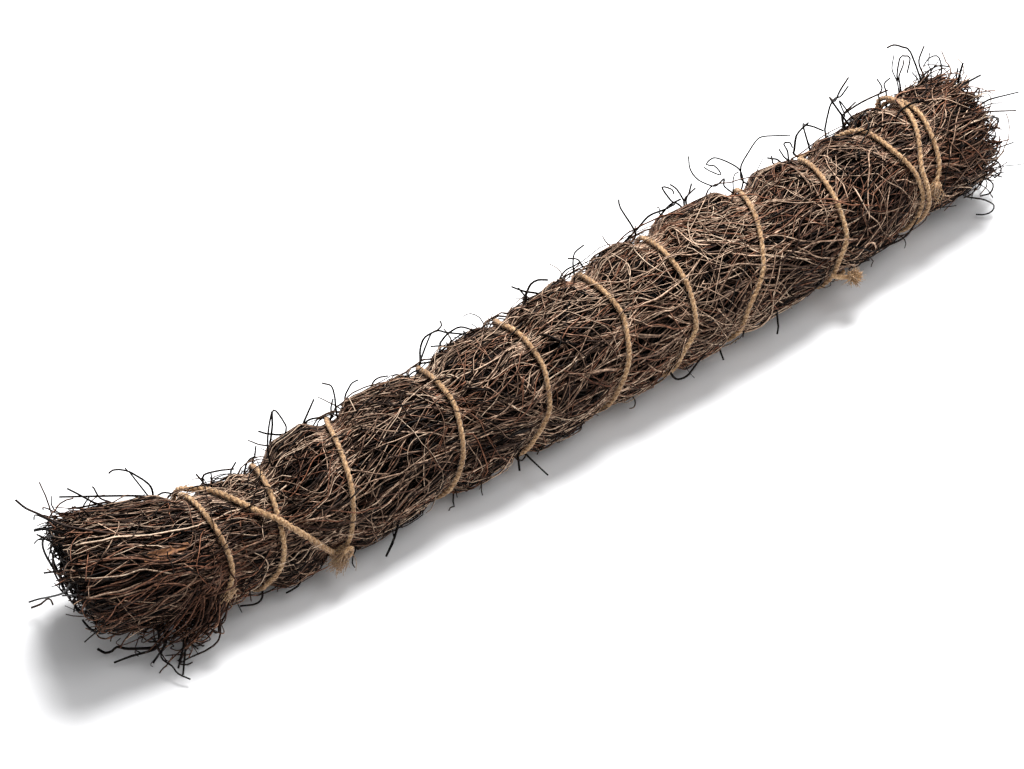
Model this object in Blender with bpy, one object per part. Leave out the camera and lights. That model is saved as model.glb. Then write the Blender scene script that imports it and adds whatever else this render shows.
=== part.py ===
"""Bundle of thin twigs wound with one length of jute twine, lying on its side.

Metres, +Z up. The bundle lies along X on the plane Z = 0, its two ends swept a little
up and to the back, with the origin under the middle of its box. Angles around the
bundle are in degrees: 0 faces the front (-Y), 90 is the top, 180 the back and 270 the
bottom.

Pieces: the packed mass of twigs, the loose twigs that lie in its grooves and stray out
of it, the twine with its two knots, and one flake of bark.
"""

import math

import bmesh
import bpy
import numpy as np
from mathutils import Vector
from mathutils.bvhtree import BVHTree

MM = 0.001
TURN = 360
SEED = 11
# Gap between touching pieces, and how deep a point counts as inside a surface
GAP = 0.3 * MM
INSIDE_REACH = 4.0 * MM
# Passes and steps that lay a path clear of what is beneath it
SETTLE_PASSES = 30
SETTLE_PROBES = 9
SETTLE_SHARE = 1.05
SETTLED = 0.001 * MM
LIFT_PASSES = 200
LIFT_STEP = 0.5

# Packed mass: (place along X, radius over its ribs), both in millimetres
GIRTH = (
    (-245, 24.0), (-215, 24.6), (-162, 23.2), (-122, 25.7), (-81, 25.2), (-36, 27.2),
    (11, 27.8), (59, 28.8), (108, 27.5), (159, 25.9), (190, 26.4), (207, 25.5), (235, 22.5),
)
# Sweep of the two ends: (place along X, shift to the back, rise), in millimetres
SWEEP = (
    (-250, 18.5, 14.8), (-233, 12.6, 10.0), (-224, 10.7, 8.5), (-214, 9.0, 7.2),
    (-204, 6.7, 5.3), (-191, 4.3, 3.5), (-179, 3.0, 2.4), (-170, 1.5, 1.2), (-158, 0.0, 0.0),
    (135, 0.0, 0.0), (150, 0.8, 0.6), (165, 2.2, 1.8), (185, 3.5, 2.8), (205, 4.0, 3.2),
    (240, 4.6, 3.7),
)
LEFT_RIM = -226 * MM
RIGHT_RIM = 218 * MM
STATION_COUNT = 40
RIB_COUNT = 18
VALLEY_DEPTH = 2.8 * MM
FLAT_HALF_ANGLE = 20
UNEVENNESS = 0.8 * MM
TUFT_LENGTHS = (3.0 * MM, 10.0 * MM)
END_DISH = ((0.74, 9.0 * MM), (0.42, 17.0 * MM))
END_DISH_DEPTH = 20.0 * MM

# Waists that the twine draws in
WAIST_HALF_LENGTH = 5.5 * MM
WAIST_FALL = 8.0 * MM
WAIST_DEPTH = 1.5 * MM
WAIST_CLEARANCE_BELOW = 4.4 * MM

# Twine
TWINE_RADIUS = 1.35 * MM
TWINE_BEVEL_RESOLUTION = 1
# Shares of a lift that the points around a crossing get, for a crossing at a point and
# for one half way to the next point
LIFT_SHARES = {
    0.0: ((-1, 0.45), (0, 1.0), (1, 0.45)),
    0.5: ((-1, 0.45), (0, 1.0), (1, 1.0), (2, 0.45)),
}
# (angle counted on from turn to turn, place along X in millimetres), from the left
# knot, up the front and down the back of each turn, to the right knot
TWINE_ROUTE = (
    (-18, -136.5), (22, -145.5), (51, -153.4), (76, -161), (102, -166.5), (131, -171),
    (147, -178), (240, -188), (330, -194), (352, -188), (370, -182), (390, -179.6),
    (417, -178.8), (507, -180), (600, -176), (706, -167.5), (717, -163), (741, -158.4),
    (761, -156), (780, -154.2), (808, -151.3), (834, -149.6), (868, -148), (960, -142),
    (1062, -132),
    (1092, -128), (1133, -122), (1206, -114), (1318, -97), (1431, -79),
    (1462, -73), (1510, -67), (1570, -67), (1682, -55), (1794, -40),
    (1819, -31), (1860, -26), (1897, -26), (1925, -28), (2040, -14), (2159, 3),
    (2185, 10), (2225, 16), (2277, 15), (2400, 24), (2522, 36),
    (2538, 44), (2580, 48), (2640, 49), (2770, 58), (2891, 71),
    (2918, 83), (2963, 93), (3027, 103), (3140, 111), (3246, 122),
    (3265, 128), (3330, 132), (3387, 137), (3405, 150), (3425, 166), (3445, 174),
    (3570, 174), (3644, 174.3), (3658, 178), (3675, 182.5), (3692, 185.6), (3712, 187.5),
    (3747, 189), (3790, 190), (3840, 187), (3930, 178), (3974, 178.5), (3992, 183.9),
    (4008, 186), (4025, 187.3), (4044, 189.5), (4064, 190.3), (4107, 190.5), (4120, 188),
    (4140, 176), (4165, 168), (4290, 168), (4335, 173), (4364, 172.1), (4378, 170.1),
    (4394, 167.9), (4414, 166.3), (4437, 165.6), (4476, 158), (4512, 142), (4560, 137),
    (4662, 128),
)

# Knots: the lump's place and its half sizes along X, around and outwards, and the
# frayed tail's direction and size
KNOT_SUBDIVISIONS = 2
LEFT_KNOT = {
    "angle": -20,
    "x": -134.5 * MM,
    "half_sizes": (5.2 * MM, 3.2 * MM, 2.6 * MM),
    "tail_direction": (-0.55, -0.45, -0.75),
    "tail_length": 11.0 * MM,
    "tail_radius": 2.4 * MM,
}
RIGHT_KNOT = {
    "angle": -16,
    "x": 125.0 * MM,
    "half_sizes": (5.4 * MM, 3.0 * MM, 2.6 * MM),
    "tail_direction": (0.85, -0.35, -0.40),
    "tail_length": 12.0 * MM,
    "tail_radius": 3.2 * MM,
}
TAIL_SIDES = 8

# Loose twigs: (groove, first and last place in the groove along X, tip, bow), in
# millimetres. The twig leaves its groove at the last place and runs to its tip, and
# bow is how far its end swings past a plain curve.
TWIG_RADIUS = 0.75 * MM
TWIG_TIP_SHARE = 0.6
STRAY_POINTS = 5
TWIGS = (
    (7, -178, -212, (-242, 38, 66), (-6, 0, 8)),
    (8, -186, -204, (-222, 37, 60), (4, 2, 12)),
    (6, -170, -188, (-202, 34, 60), (-8, 0, -10)),
    (5, -128, -140, (-137, 18, 67), (6, 4, 8)),
    (6, -92, -106, (-111, 22, 62), (-10, 0, 4)),
    (6, -84, -74, (-62, 18, 64), (14, 0, -6)),
    (6, -2, -15, (-22, 20, 64), (-6, 0, 10)),
    (5, -22, -8, (4, 16, 66), (12, 2, 4)),
    (6, 0, 8, (18, 20, 64), (6, -8, 10)),
    (6, 24, 34, (38, 24, 72), (-10, 6, 12)),
    (7, 56, 63, (66, 30, 62), (-8, 4, 12)),
    (6, 60, 70, (77, 27, 74), (-6, 0, 14)),
    (7, 74, 86, (89, 31, 62), (6, 6, 8)),
    (6, 82, 91, (112, 22, 72), (18, 0, 2)),
    (6, 112, 124, (138, 20, 64), (10, 4, 6)),
    (6, 142, 152, (162, 28, 66), (4, 4, 14)),
    (7, 160, 168, (173, 34, 60), (0, 4, 12)),
    (6, 214, 204, (198, 38, 62), (-4, 4, 10)),
    (4, 186, 206, (220, 12, 61), (10, -4, 12)),
    (3, 190, 213, (245, -2, 39), (10, 0, 6)),
    (2, 190, 213, (240, -6, 34), (12, 2, -4)),
    (17, 190, 211, (237, -11, 19), (10, 2, -6)),
    (16, 186, 204, (215, -27, 5), (-10, -6, -4)),
    (9, -170, -212, (-246, 31, 9), (-10, 4, -4)),
    (0, -186, -216, (-236, -1, 3), (-6, -2, -6)),
    (16, -202, -214, (-234, -10, 3), (-6, -2, -3)),
    (17, -188, -204, (-214, -29, 4), (-4, -8, -8)),
    (16, -184, -198, (-212, -34, 4), (-2, -8, -6)),
    (16, -100, -112, (-117, -32, 8), (-2, -6, -8)),
    (16, -14, -31, (-39, -37, 9), (-4, -8, -4)),
    (16, 62, 76, (87, -34, 9), (6, -6, -6)),
    (5, 196, 210, (233, 12, 46), (8, 0, -8)),
    (1, 190, 212, (232, -12, 17), (6, 3, -6)),
    (8, 188, 207, (232, 31, 36), (6, -4, 8)),
    (10, 190, 207, (233, 6, 12), (8, -4, -4)),
    (4, -196, -218, (-242, 12, 32), (-3, 2, -18)),
    (2, -194, -214, (-246, 13, 50), (-8, 4, 2)),
    (6, -196, -213, (-242, 23, 61), (-8, -4, 6)),
    (3, -150, -84, None, None),
    (1, -122, -58, None, None),
    (2, -62, 18, None, None),
    (0, -22, 52, None, None),
    (4, 22, 84, None, None),
    (2, 60, 132, None, None),
    (0, 96, 158, None, None),
    (17, -92, -30, None, None),
    (10, -100, -34, None, None),
    (9, 30, 96, None, None),
)

# Flake of bark on the left end
FLAKE_LENGTH = 15.0 * MM
FLAKE_WIDTH = 6.5 * MM
FLAKE_THICKNESS = 0.8 * MM
FLAKE_X = -199.0 * MM
FLAKE_ANGLE = 61
FLAKE_TURN = 12
FLAKE_STEPS = 6


def clear_scene() -> None:
    """Remove every object of the scene."""
    for item in list(bpy.data.objects):
        bpy.data.objects.remove(item, do_unlink=True)


def make_material(name: str, colour: tuple, roughness: float) -> bpy.types.Material:
    """Make a plain Principled material."""
    material = bpy.data.materials.new(name)
    material.use_nodes = True
    shader = material.node_tree.nodes["Principled BSDF"]
    shader.inputs["Base Color"].default_value = (*colour, 1.0)
    shader.inputs["Roughness"].default_value = roughness
    shader.inputs["Metallic"].default_value = 0.0
    return material


def girth(x: float) -> float:
    """Give the radius over the ribs at a place along X."""
    places = [place * MM for place, _ in GIRTH]
    radii = [radius * MM for _, radius in GIRTH]
    return float(np.interp(x, places, radii))


def sweep(x: float) -> tuple:
    """Give how far the bundle is swept to the back and raised at a place along X."""
    places = [place * MM for place, _, _ in SWEEP]
    shifts = [shift * MM for _, shift, _ in SWEEP]
    rises = [rise * MM for _, _, rise in SWEEP]
    return float(np.interp(x, places, shifts)), float(np.interp(x, places, rises))


def axis_point(x: float) -> np.ndarray:
    """Give the bundle's middle, so that its flat underside is as high as the sweep raises it."""
    shift, rise = sweep(x)
    return np.array((x, shift, rise + girth(x) * math.cos(math.radians(FLAT_HALF_ANGLE))))


def outward(angle: float) -> np.ndarray:
    """Give the unit vector that points away from the axis at an angle."""
    turn = math.radians(angle)
    return np.array((0.0, -math.cos(turn), math.sin(turn)))


def at(x: float, angle: float, radius: float) -> np.ndarray:
    """Give the point at a place along X, an angle and a radius."""
    return axis_point(x) + radius * outward(angle)


def twine_x(total_angle) -> np.ndarray:
    """Give the twine's place along X at an angle counted on from turn to turn."""
    angles = [angle for angle, _ in TWINE_ROUTE]
    places = [place * MM for _, place in TWINE_ROUTE]
    return np.interp(total_angle, angles, places)


def waist(x: float, angle: float) -> float:
    """Give how near a point is to the twine, from 0 far away to 1 right under it."""
    first, last = TWINE_ROUTE[0][0], TWINE_ROUTE[-1][0]
    turns = range(-1, int(last / TURN) + 2)
    crossings = [angle % TURN + turn * TURN for turn in turns]
    crossings = np.array([total for total in crossings if first - 30 <= total <= last + 30])
    distance = np.abs(twine_x(crossings) - x).min()
    beyond = min(1.0, max(0.0, distance - WAIST_HALF_LENGTH) / WAIST_FALL)
    return (1 - beyond) ** 2 * (1 + 2 * beyond)


def stations() -> np.ndarray:
    """Give the places along X of the mass's rings."""
    return np.linspace(LEFT_RIM, RIGHT_RIM, STATION_COUNT)


def on_flat(angle: float) -> bool:
    """Tell whether an angle lies on the flat underside."""
    return abs(angle % TURN - 270) <= FLAT_HALF_ANGLE


def mass_grid() -> np.ndarray:
    """Give the packed mass's side as points, ring by ring from the left."""
    rng = np.random.default_rng(SEED)
    columns = 2 * RIB_COUNT
    noise = rng.normal(0.0, 1.0, (STATION_COUNT, RIB_COUNT))
    noise = (noise + np.roll(noise, 1, 0) + np.roll(noise, -1, 0)) / 3
    tufts = rng.uniform(*TUFT_LENGTHS, (2, RIB_COUNT))
    grid = np.zeros((STATION_COUNT, columns, 3))
    for row, x in enumerate(stations()):
        for column in range(columns):
            angle = column * TURN / columns
            near = waist(x, angle)
            bumps = noise[row, column // 2] + noise[row, (column + 1) // 2 % RIB_COUNT]
            radius = girth(x) + UNEVENNESS * 0.5 * bumps * (1 - near) - WAIST_DEPTH * near
            if column % 2 == 1:
                radius -= VALLEY_DEPTH
            point = at(x, angle, radius)
            lift = WAIST_CLEARANCE_BELOW * near + sweep(x)[1]
            point[2] = lift if on_flat(angle) else max(point[2], lift)
            tuft = column % 2 == 0 and row in (0, STATION_COUNT - 1)
            if tuft and not on_flat(angle):
                point[0] += -tufts[0, column // 2] if row == 0 else tufts[1, column // 2]
            grid[row, column] = point
    return grid


def add_end(mesh: bmesh.types.BMesh, rim: list, x: float, inwards: int) -> None:
    """Close one end of the mass with a hollow, dished face."""
    centre = Vector(axis_point(x))
    outer = rim
    for share, depth in END_DISH:
        ring = []
        for vertex in rim:
            spot = centre.lerp(vertex.co, share)
            spot.x = x + inwards * depth
            ring.append(mesh.verts.new(spot))
        join_rings(mesh, outer, ring, inwards)
        outer = ring
    middle = mesh.verts.new(centre + Vector((inwards * END_DISH_DEPTH, 0.0, 0.0)))
    for index, vertex in enumerate(outer):
        following = outer[(index + 1) % len(outer)]
        corners = (vertex, following, middle) if inwards > 0 else (following, vertex, middle)
        mesh.faces.new(corners)


def join_rings(mesh: bmesh.types.BMesh, first: list, second: list, direction: int) -> None:
    """Fill the band between two rings of vertices with triangles."""
    count = len(first)
    for index in range(count):
        following = (index + 1) % count
        corners = (first[index], first[following], second[following], second[index])
        if direction < 0:
            corners = corners[::-1]
        mesh.faces.new((corners[0], corners[1], corners[2]))
        mesh.faces.new((corners[0], corners[2], corners[3]))


def make_mass(material: bpy.types.Material) -> bpy.types.Object:
    """Model the packed mass of twigs, ribbed along its length."""
    mesh = bmesh.new()
    grid = mass_grid()
    rings = [[mesh.verts.new(point) for point in ring] for ring in grid]
    for left, right in zip(rings, rings[1:]):
        join_rings(mesh, left, right, -1)
    add_end(mesh, rings[0], LEFT_RIM, 1)
    add_end(mesh, rings[-1], RIGHT_RIM, -1)
    bmesh.ops.recalc_face_normals(mesh, faces=mesh.faces)
    data = bpy.data.meshes.new("packed_twigs")
    mesh.to_mesh(data)
    mesh.free()
    return add_object("packed_twigs", data, material)


def add_object(name: str, data: bpy.types.ID, material: bpy.types.Material) -> bpy.types.Object:
    """Put mesh or curve data in the scene as an object with one material."""
    item = bpy.data.objects.new(name, data)
    bpy.context.scene.collection.objects.link(item)
    data.materials.append(material)
    return item


def surface_of(item: bpy.types.Object) -> BVHTree:
    """Make a search tree of an object's faces."""
    mesh = bmesh.new()
    mesh.from_mesh(item.data)
    tree = BVHTree.FromBMesh(mesh)
    mesh.free()
    return tree


def clearance(point: np.ndarray, surface: BVHTree) -> float:
    """Give the distance from a point to a surface, negative just inside it."""
    spot, normal, _, distance = surface.find_nearest(Vector(point))
    inside = (Vector(point) - spot).dot(normal) < 0
    return -distance if inside and distance < INSIDE_REACH else distance


def settle(points: np.ndarray, away: np.ndarray, needed: float, surface: BVHTree) -> np.ndarray:
    """Raise a path's points until every stretch between them clears a surface."""
    points = points.copy()
    for _ in range(SETTLE_PASSES):
        raised = np.zeros(len(points))
        for index in range(len(points) - 1):
            for share in np.linspace(0.0, 1.0, SETTLE_PROBES):
                spot = points[index] * (1 - share) + points[index + 1] * share
                short = needed - clearance(spot, surface)
                if short > 0:
                    raised[index] = max(raised[index], short * (1 - share))
                    raised[index + 1] = max(raised[index + 1], short * share)
        if raised.max() < SETTLED:
            break
        points += raised[:, None] * away * SETTLE_SHARE
    return points


def rest_on_itself(points: np.ndarray, away: np.ndarray, totals: np.ndarray) -> np.ndarray:
    """Raise the turns wound last over the ones that they cross."""
    points = points.copy()
    needed = 2 * TWINE_RADIUS + GAP
    for _ in range(LIFT_PASSES):
        starts, ends = points[:-1], points[1:]
        runs = ends - starts
        raised = np.zeros(len(points))
        for index in range(1, len(points) - 2):
            beneath = totals[:-1] > totals[index] + TURN * 0.8
            if not beneath.any():
                continue
            for share in LIFT_SHARES:
                spot = points[index] * (1 - share) + points[index + 1] * share
                along = ((spot - starts) * runs).sum(1) / (runs * runs).sum(1)
                nearest = starts + np.clip(along, 0, 1)[:, None] * runs
                short = needed - np.linalg.norm(spot - nearest, axis=1)[beneath].min()
                if short > 0:
                    for reach, part in LIFT_SHARES[share]:
                        raised[index + reach] = max(raised[index + reach], short * part)
        if raised.max() < SETTLED:
            break
        points += LIFT_STEP * raised[:, None] * away
    return points


def add_strand(
    name: str,
    points: np.ndarray,
    radii: list,
    depth: float,
    resolution: int,
    material: bpy.types.Material,
) -> bpy.types.Object:
    """Model a round strand with closed ends along a path."""
    curve = bpy.data.curves.new(name, "CURVE")
    curve.dimensions = "3D"
    curve.bevel_depth = depth
    curve.bevel_resolution = resolution
    curve.use_fill_caps = True
    spline = curve.splines.new("POLY")
    spline.points.add(len(points) - 1)
    for spot, point, radius in zip(spline.points, points, radii):
        spot.co = (*point, 1.0)
        spot.radius = radius
    return add_object(name, curve, material)


def twine_path(surface: BVHTree) -> np.ndarray:
    """Give the twine's path from rib to rib over the whole winding."""
    step = TURN / RIB_COUNT
    first, last = TWINE_ROUTE[0][0], TWINE_ROUTE[-1][0]
    ribs = np.arange(math.ceil(first / step), math.floor(last / step) + 1) * step
    totals = np.concatenate(([first], ribs[(ribs > first + 4) & (ribs < last - 4)], [last]))
    places = twine_x(totals)
    radii = [girth(x) - WAIST_DEPTH + TWINE_RADIUS for x in places]
    points = np.array([at(x, angle, radius) for x, angle, radius in zip(places, totals, radii)])
    away = np.array([outward(angle) for angle in totals])
    for index, (angle, x) in enumerate(zip(totals, places)):
        if on_flat(angle):
            points[index, 2] = WAIST_CLEARANCE_BELOW - TWINE_RADIUS + sweep(x)[1]
    points = settle(points, away, TWINE_RADIUS + GAP, surface)
    return rest_on_itself(points, away, totals)


def world_points(item: bpy.types.Object) -> list:
    """Give an object's vertices where they lie in the scene."""
    return [item.matrix_world @ vertex.co for vertex in item.data.vertices]


def add_knot(knot: dict, surface: BVHTree) -> list:
    """Model a knot's lump and frayed tail, to be joined to the twine."""
    away = Vector(outward(knot["angle"]))
    bpy.ops.mesh.primitive_ico_sphere_add(
        subdivisions=KNOT_SUBDIVISIONS,
        radius=1.0,
        location=at(knot["x"], knot["angle"], girth(knot["x"])),
        rotation=(math.radians(90 - knot["angle"]), 0.0, 0.0),
    )
    lump = bpy.context.object
    lump.scale = knot["half_sizes"]
    bpy.context.view_layer.update()
    while min(clearance(point, surface) for point in world_points(lump)) < 2 * GAP:
        lump.location += 0.1 * MM * away
        bpy.context.view_layer.update()
    direction = Vector(knot["tail_direction"]).normalized()
    bpy.ops.mesh.primitive_cone_add(
        vertices=TAIL_SIDES,
        radius1=0.7 * TWINE_RADIUS,
        radius2=knot["tail_radius"],
        depth=knot["tail_length"],
        location=lump.location + direction * knot["tail_length"] * 0.5,
        rotation=direction.to_track_quat("Z", "Y").to_euler(),
    )
    tail = bpy.context.object
    return [lump, tail]


def make_twine(surface: BVHTree, material: bpy.types.Material) -> bpy.types.Object:
    """Model the twine as one piece with the knots at its two ends."""
    points = twine_path(surface)
    even = [1.0] * len(points)
    strand = add_strand("twine_path", points, even, TWINE_RADIUS, TWINE_BEVEL_RESOLUTION, material)
    depsgraph = bpy.context.evaluated_depsgraph_get()
    data = bpy.data.meshes.new_from_object(strand.evaluated_get(depsgraph))
    bpy.data.objects.remove(strand, do_unlink=True)
    mesh = bmesh.new()
    mesh.from_mesh(data)
    bmesh.ops.remove_doubles(mesh, verts=mesh.verts, dist=0.0001 * MM)
    bmesh.ops.recalc_face_normals(mesh, faces=mesh.faces)
    mesh.to_mesh(data)
    mesh.free()
    data.materials.clear()
    twine = add_object("twine", data, material)
    for knot in (LEFT_KNOT, RIGHT_KNOT):
        for piece in add_knot(knot, surface):
            piece.hide_render = True
            piece.display_type = "WIRE"
            union = twine.modifiers.new("knot", "BOOLEAN")
            union.operation = "UNION"
            union.solver = "EXACT"
            union.object = piece
    return twine


def groove_angle(groove: int) -> float:
    """Give the angle of a groove between two ribs."""
    return (groove + 0.5) * TURN / RIB_COUNT


def groove_point(x: float, groove: int, grid: np.ndarray) -> np.ndarray:
    """Give the bottom of a groove at a place along X."""
    column = grid[:, 2 * groove + 1]
    return np.array([np.interp(x, column[:, 0], column[:, axis]) for axis in range(3)])


def groove_stretch(groove: int, first: float, last: float) -> list:
    """Give the places along X of a twig's points in its groove, at the rings between its ends."""
    low, high = min(first, last), max(first, last)
    between = [x for x in stations() if low + 3 * MM < x < high - 3 * MM]
    places = [low, *between, high]
    return places if first < last else places[::-1]


def stray_points(start: np.ndarray, along: float, tip: tuple, bow: tuple) -> list:
    """Give the free part of a twig, from the groove to its tip."""
    start = Vector(start)
    tip = Vector(tip) * MM
    reach = (tip - start).length
    leaving = start + Vector((along * reach * 0.35, 0.0, 0.0))
    arriving = tip - Vector(bow) * MM
    steps = []
    for index in range(1, STRAY_POINTS + 1):
        share = index / STRAY_POINTS
        a, b = start.lerp(leaving, share), leaving.lerp(arriving, share)
        c, d = arriving.lerp(tip, share), b
        e, f = a.lerp(b, share), d.lerp(c, share)
        steps.append(np.array(e.lerp(f, share)))
    return steps


def make_twig(
    index: int, row: tuple, grid: np.ndarray, surface: BVHTree, material: bpy.types.Material
) -> bpy.types.Object:
    """Model one loose twig that lies in a groove, and strays out of it if it has a tip."""
    groove, first, last, tip, bow = row
    places = groove_stretch(groove, first * MM, last * MM)
    points = [groove_point(x, groove, grid) for x in places]
    away = outward(groove_angle(groove))
    points = [point + away * TWIG_RADIUS for point in points]
    if tip:
        along = math.copysign(1.0, last - first)
        points += stray_points(points[-1], along, tip, bow)
    points = np.array(points)
    sides = np.repeat(away[None, :], len(points), axis=0)
    points = settle(points, sides, TWIG_RADIUS + GAP, surface)
    if tip:
        points[-1] = np.array(tip) * MM
    radii = np.linspace(1.0, TWIG_TIP_SHARE, len(points))
    return add_strand(f"twig_{index:02d}", points, list(radii), TWIG_RADIUS, 0, material)


def flake_rows(surface: BVHTree) -> list:
    """Give the flake's underside as rows of three points, resting over the ribs."""
    rows = []
    for step in range(FLAKE_STEPS + 1):
        share = step / FLAKE_STEPS
        width = FLAKE_WIDTH * (0.35 + 0.65 * math.sin(math.pi * (0.15 + 0.75 * share)))
        x = FLAKE_X + (share - 0.5) * FLAKE_LENGTH
        angle = FLAKE_ANGLE + (share - 0.5) * FLAKE_TURN
        spread = math.degrees(width / girth(x) / 2)
        rows.append([at(x, angle + side * spread, girth(x)) for side in (-1, 0, 1)])
    lowest = min(clearance(spot, surface) for spots in rows for spot in spots)
    lift = outward(FLAKE_ANGLE) * (2 * GAP - lowest)
    return [[spot + lift for spot in spots] for spots in rows]


def make_flake(surface: BVHTree, material: bpy.types.Material) -> bpy.types.Object:
    """Model the thin curved flake of bark that lies on the ribs of the left end."""
    rows = flake_rows(surface)
    thickness = outward(FLAKE_ANGLE) * FLAKE_THICKNESS
    mesh = bmesh.new()
    lower = [[mesh.verts.new(spot) for spot in spots] for spots in rows]
    upper = [[mesh.verts.new(spot + thickness) for spot in spots] for spots in rows]
    rims = []
    for layer in (lower, upper):
        one_side = [row[0] for row in layer]
        other_side = [row[2] for row in reversed(layer)]
        rims.append([*one_side, layer[-1][1], *other_side, layer[0][1]])
        for near, far in zip(layer, layer[1:]):
            for side in (0, 1):
                mesh.faces.new((near[side], far[side], far[side + 1], near[side + 1]))
    join_rings(mesh, rims[0], rims[1], 1)
    bmesh.ops.recalc_face_normals(mesh, faces=mesh.faces)
    data = bpy.data.meshes.new("bark_flake")
    mesh.to_mesh(data)
    mesh.free()
    return add_object("bark_flake", data, material)


def main() -> None:
    """Model the whole bundle."""
    clear_scene()
    bark = make_material("dark_bark", (0.055, 0.035, 0.025), 0.6)
    loose_bark = make_material("brown_bark", (0.10, 0.055, 0.035), 0.55)
    jute = make_material("jute", (0.48, 0.33, 0.18), 0.9)
    inner_bark = make_material("inner_bark", (0.36, 0.16, 0.07), 0.8)
    mass = make_mass(bark)
    surface = surface_of(mass)
    grid = mass_grid()
    make_twine(surface, jute)
    for index, row in enumerate(TWIGS, start=1):
        make_twig(index, row, grid, surface, loose_bark)
    make_flake(surface, inner_bark)


main()
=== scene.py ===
"""Looks for a bundle of thin wiry twigs wound with jute twine, lying on its side.

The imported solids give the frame. This script shows every twig of the mass as a strand of
its own, the two-ply twine with its knots and fuzz, and the flake of bark. Sizes are in
millimetres and degrees until a mesh is made. Angles around the bundle start at the front
(-Y), with 90 at the top, 180 at the back and 270 at the bottom.
"""

import logging
import math
from dataclasses import dataclass
from enum import Enum

import bpy
import numpy as np
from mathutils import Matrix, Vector


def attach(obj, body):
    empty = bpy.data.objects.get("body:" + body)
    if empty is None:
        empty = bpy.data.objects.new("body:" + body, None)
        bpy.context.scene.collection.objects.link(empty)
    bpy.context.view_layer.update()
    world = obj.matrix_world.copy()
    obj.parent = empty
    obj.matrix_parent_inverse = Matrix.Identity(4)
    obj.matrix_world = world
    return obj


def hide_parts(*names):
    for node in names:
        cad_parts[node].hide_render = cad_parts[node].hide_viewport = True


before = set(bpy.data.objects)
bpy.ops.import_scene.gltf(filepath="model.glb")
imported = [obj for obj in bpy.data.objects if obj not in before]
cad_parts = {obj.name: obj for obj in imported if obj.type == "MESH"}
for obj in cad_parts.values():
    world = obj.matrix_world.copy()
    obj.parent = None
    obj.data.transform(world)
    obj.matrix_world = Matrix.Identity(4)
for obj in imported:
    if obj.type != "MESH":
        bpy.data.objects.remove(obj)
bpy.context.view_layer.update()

MM = 0.001
TURN = 360.0
TINY = 1e-9
GOLDEN_ANGLE = 137.50776
MOST_NOISE = (0.3, 0.7)
log = logging.getLogger("bundle_of_twigs")


class Side(Enum):
    """The two ends of the bundle, by their direction along X."""

    NEAR = -1
    FAR = 1


@dataclass(frozen=True)
class Strand:
    """One round strand: its path and radii in millimetres, and its bark's tone and redness; the tone may
    hold painted shade.
    """

    points: np.ndarray
    radii: np.ndarray
    tone: np.ndarray | float = 0.4
    ruddy: float = 0.0


@dataclass(frozen=True)
class Form:
    """The outer form of the bundle: its radius along X, its swept ends and its flat underside."""

    girth: tuple = (
        (-245, 24.0), (-215, 24.6), (-162, 23.2), (-122, 25.7), (-81, 25.2), (-36, 27.2),
        (11, 27.8), (59, 28.8), (108, 27.5), (159, 25.9), (190, 26.4), (207, 25.5), (235, 22.5),
    )
    sweep: tuple = (
        # place along X, shift to the back, rise
        (-250, 18.5, 14.8), (-233, 12.6, 10.0), (-224, 10.7, 8.5), (-214, 9.0, 7.2),
        (-204, 6.7, 5.3), (-191, 4.3, 3.5), (-179, 3.0, 2.4), (-170, 1.5, 1.2),
        (-158, 0.0, 0.0), (135, 0.0, 0.0), (150, 0.8, 0.6), (165, 2.2, 1.8), (185, 3.5, 2.8),
        (205, 4.0, 3.2), (240, 4.6, 3.7),
    )
    rest_half_angle: float = 20.0
    rims: tuple = (-230.0, 219.0)
    floor_gap: float = 0.15

    def radius(self, x: np.ndarray) -> np.ndarray:
        """Give the radius over the outermost twigs at a place along X."""
        return np.interp(x, [row[0] for row in self.girth], [row[1] for row in self.girth])

    def shift(self, x: np.ndarray) -> np.ndarray:
        """Give how far to the back the bundle is swept at a place along X."""
        return np.interp(x, [row[0] for row in self.sweep], [row[1] for row in self.sweep])

    def rise(self, x: np.ndarray) -> np.ndarray:
        """Give how high the underside is raised at a place along X."""
        return np.interp(x, [row[0] for row in self.sweep], [row[2] for row in self.sweep])

    def axis_height(self, x: np.ndarray) -> np.ndarray:
        """Give the height of the bundle's axis over the surface that it lies on."""
        return self.rise(x) + self.radius(x) * math.cos(math.radians(self.rest_half_angle))

    def place(self, x: np.ndarray, angle: np.ndarray, radius: np.ndarray) -> np.ndarray:
        """Give points by their place along X, angle around the axis and distance from it.

        Args:
            x: places along the bundle.
            angle: angles around the axis.
            radius: distances from the axis.

        Returns:
            The points, with their coordinates along the last axis.
        """
        turn = np.radians(angle)
        y = self.shift(x) - radius * np.cos(turn)
        z = self.axis_height(x) + radius * np.sin(turn)
        return np.stack(np.broadcast_arrays(x, y, z), axis=-1)

    def spread(self, points: np.ndarray) -> np.ndarray:
        """Give the vectors from the axis to some points, across the bundle."""
        away = np.array(points, dtype=float)
        away[..., 1] -= self.shift(away[..., 0])
        away[..., 2] -= self.axis_height(away[..., 0])
        away[..., 0] = 0.0
        return away

    def outward(self, points: np.ndarray) -> np.ndarray:
        """Give the unit directions away from the axis at some points."""
        return unit(self.spread(points))

    def angle(self, points: np.ndarray) -> np.ndarray:
        """Give the angles around the axis of some points."""
        away = self.spread(points)
        return np.degrees(np.arctan2(away[..., 2], -away[..., 1]))


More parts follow.
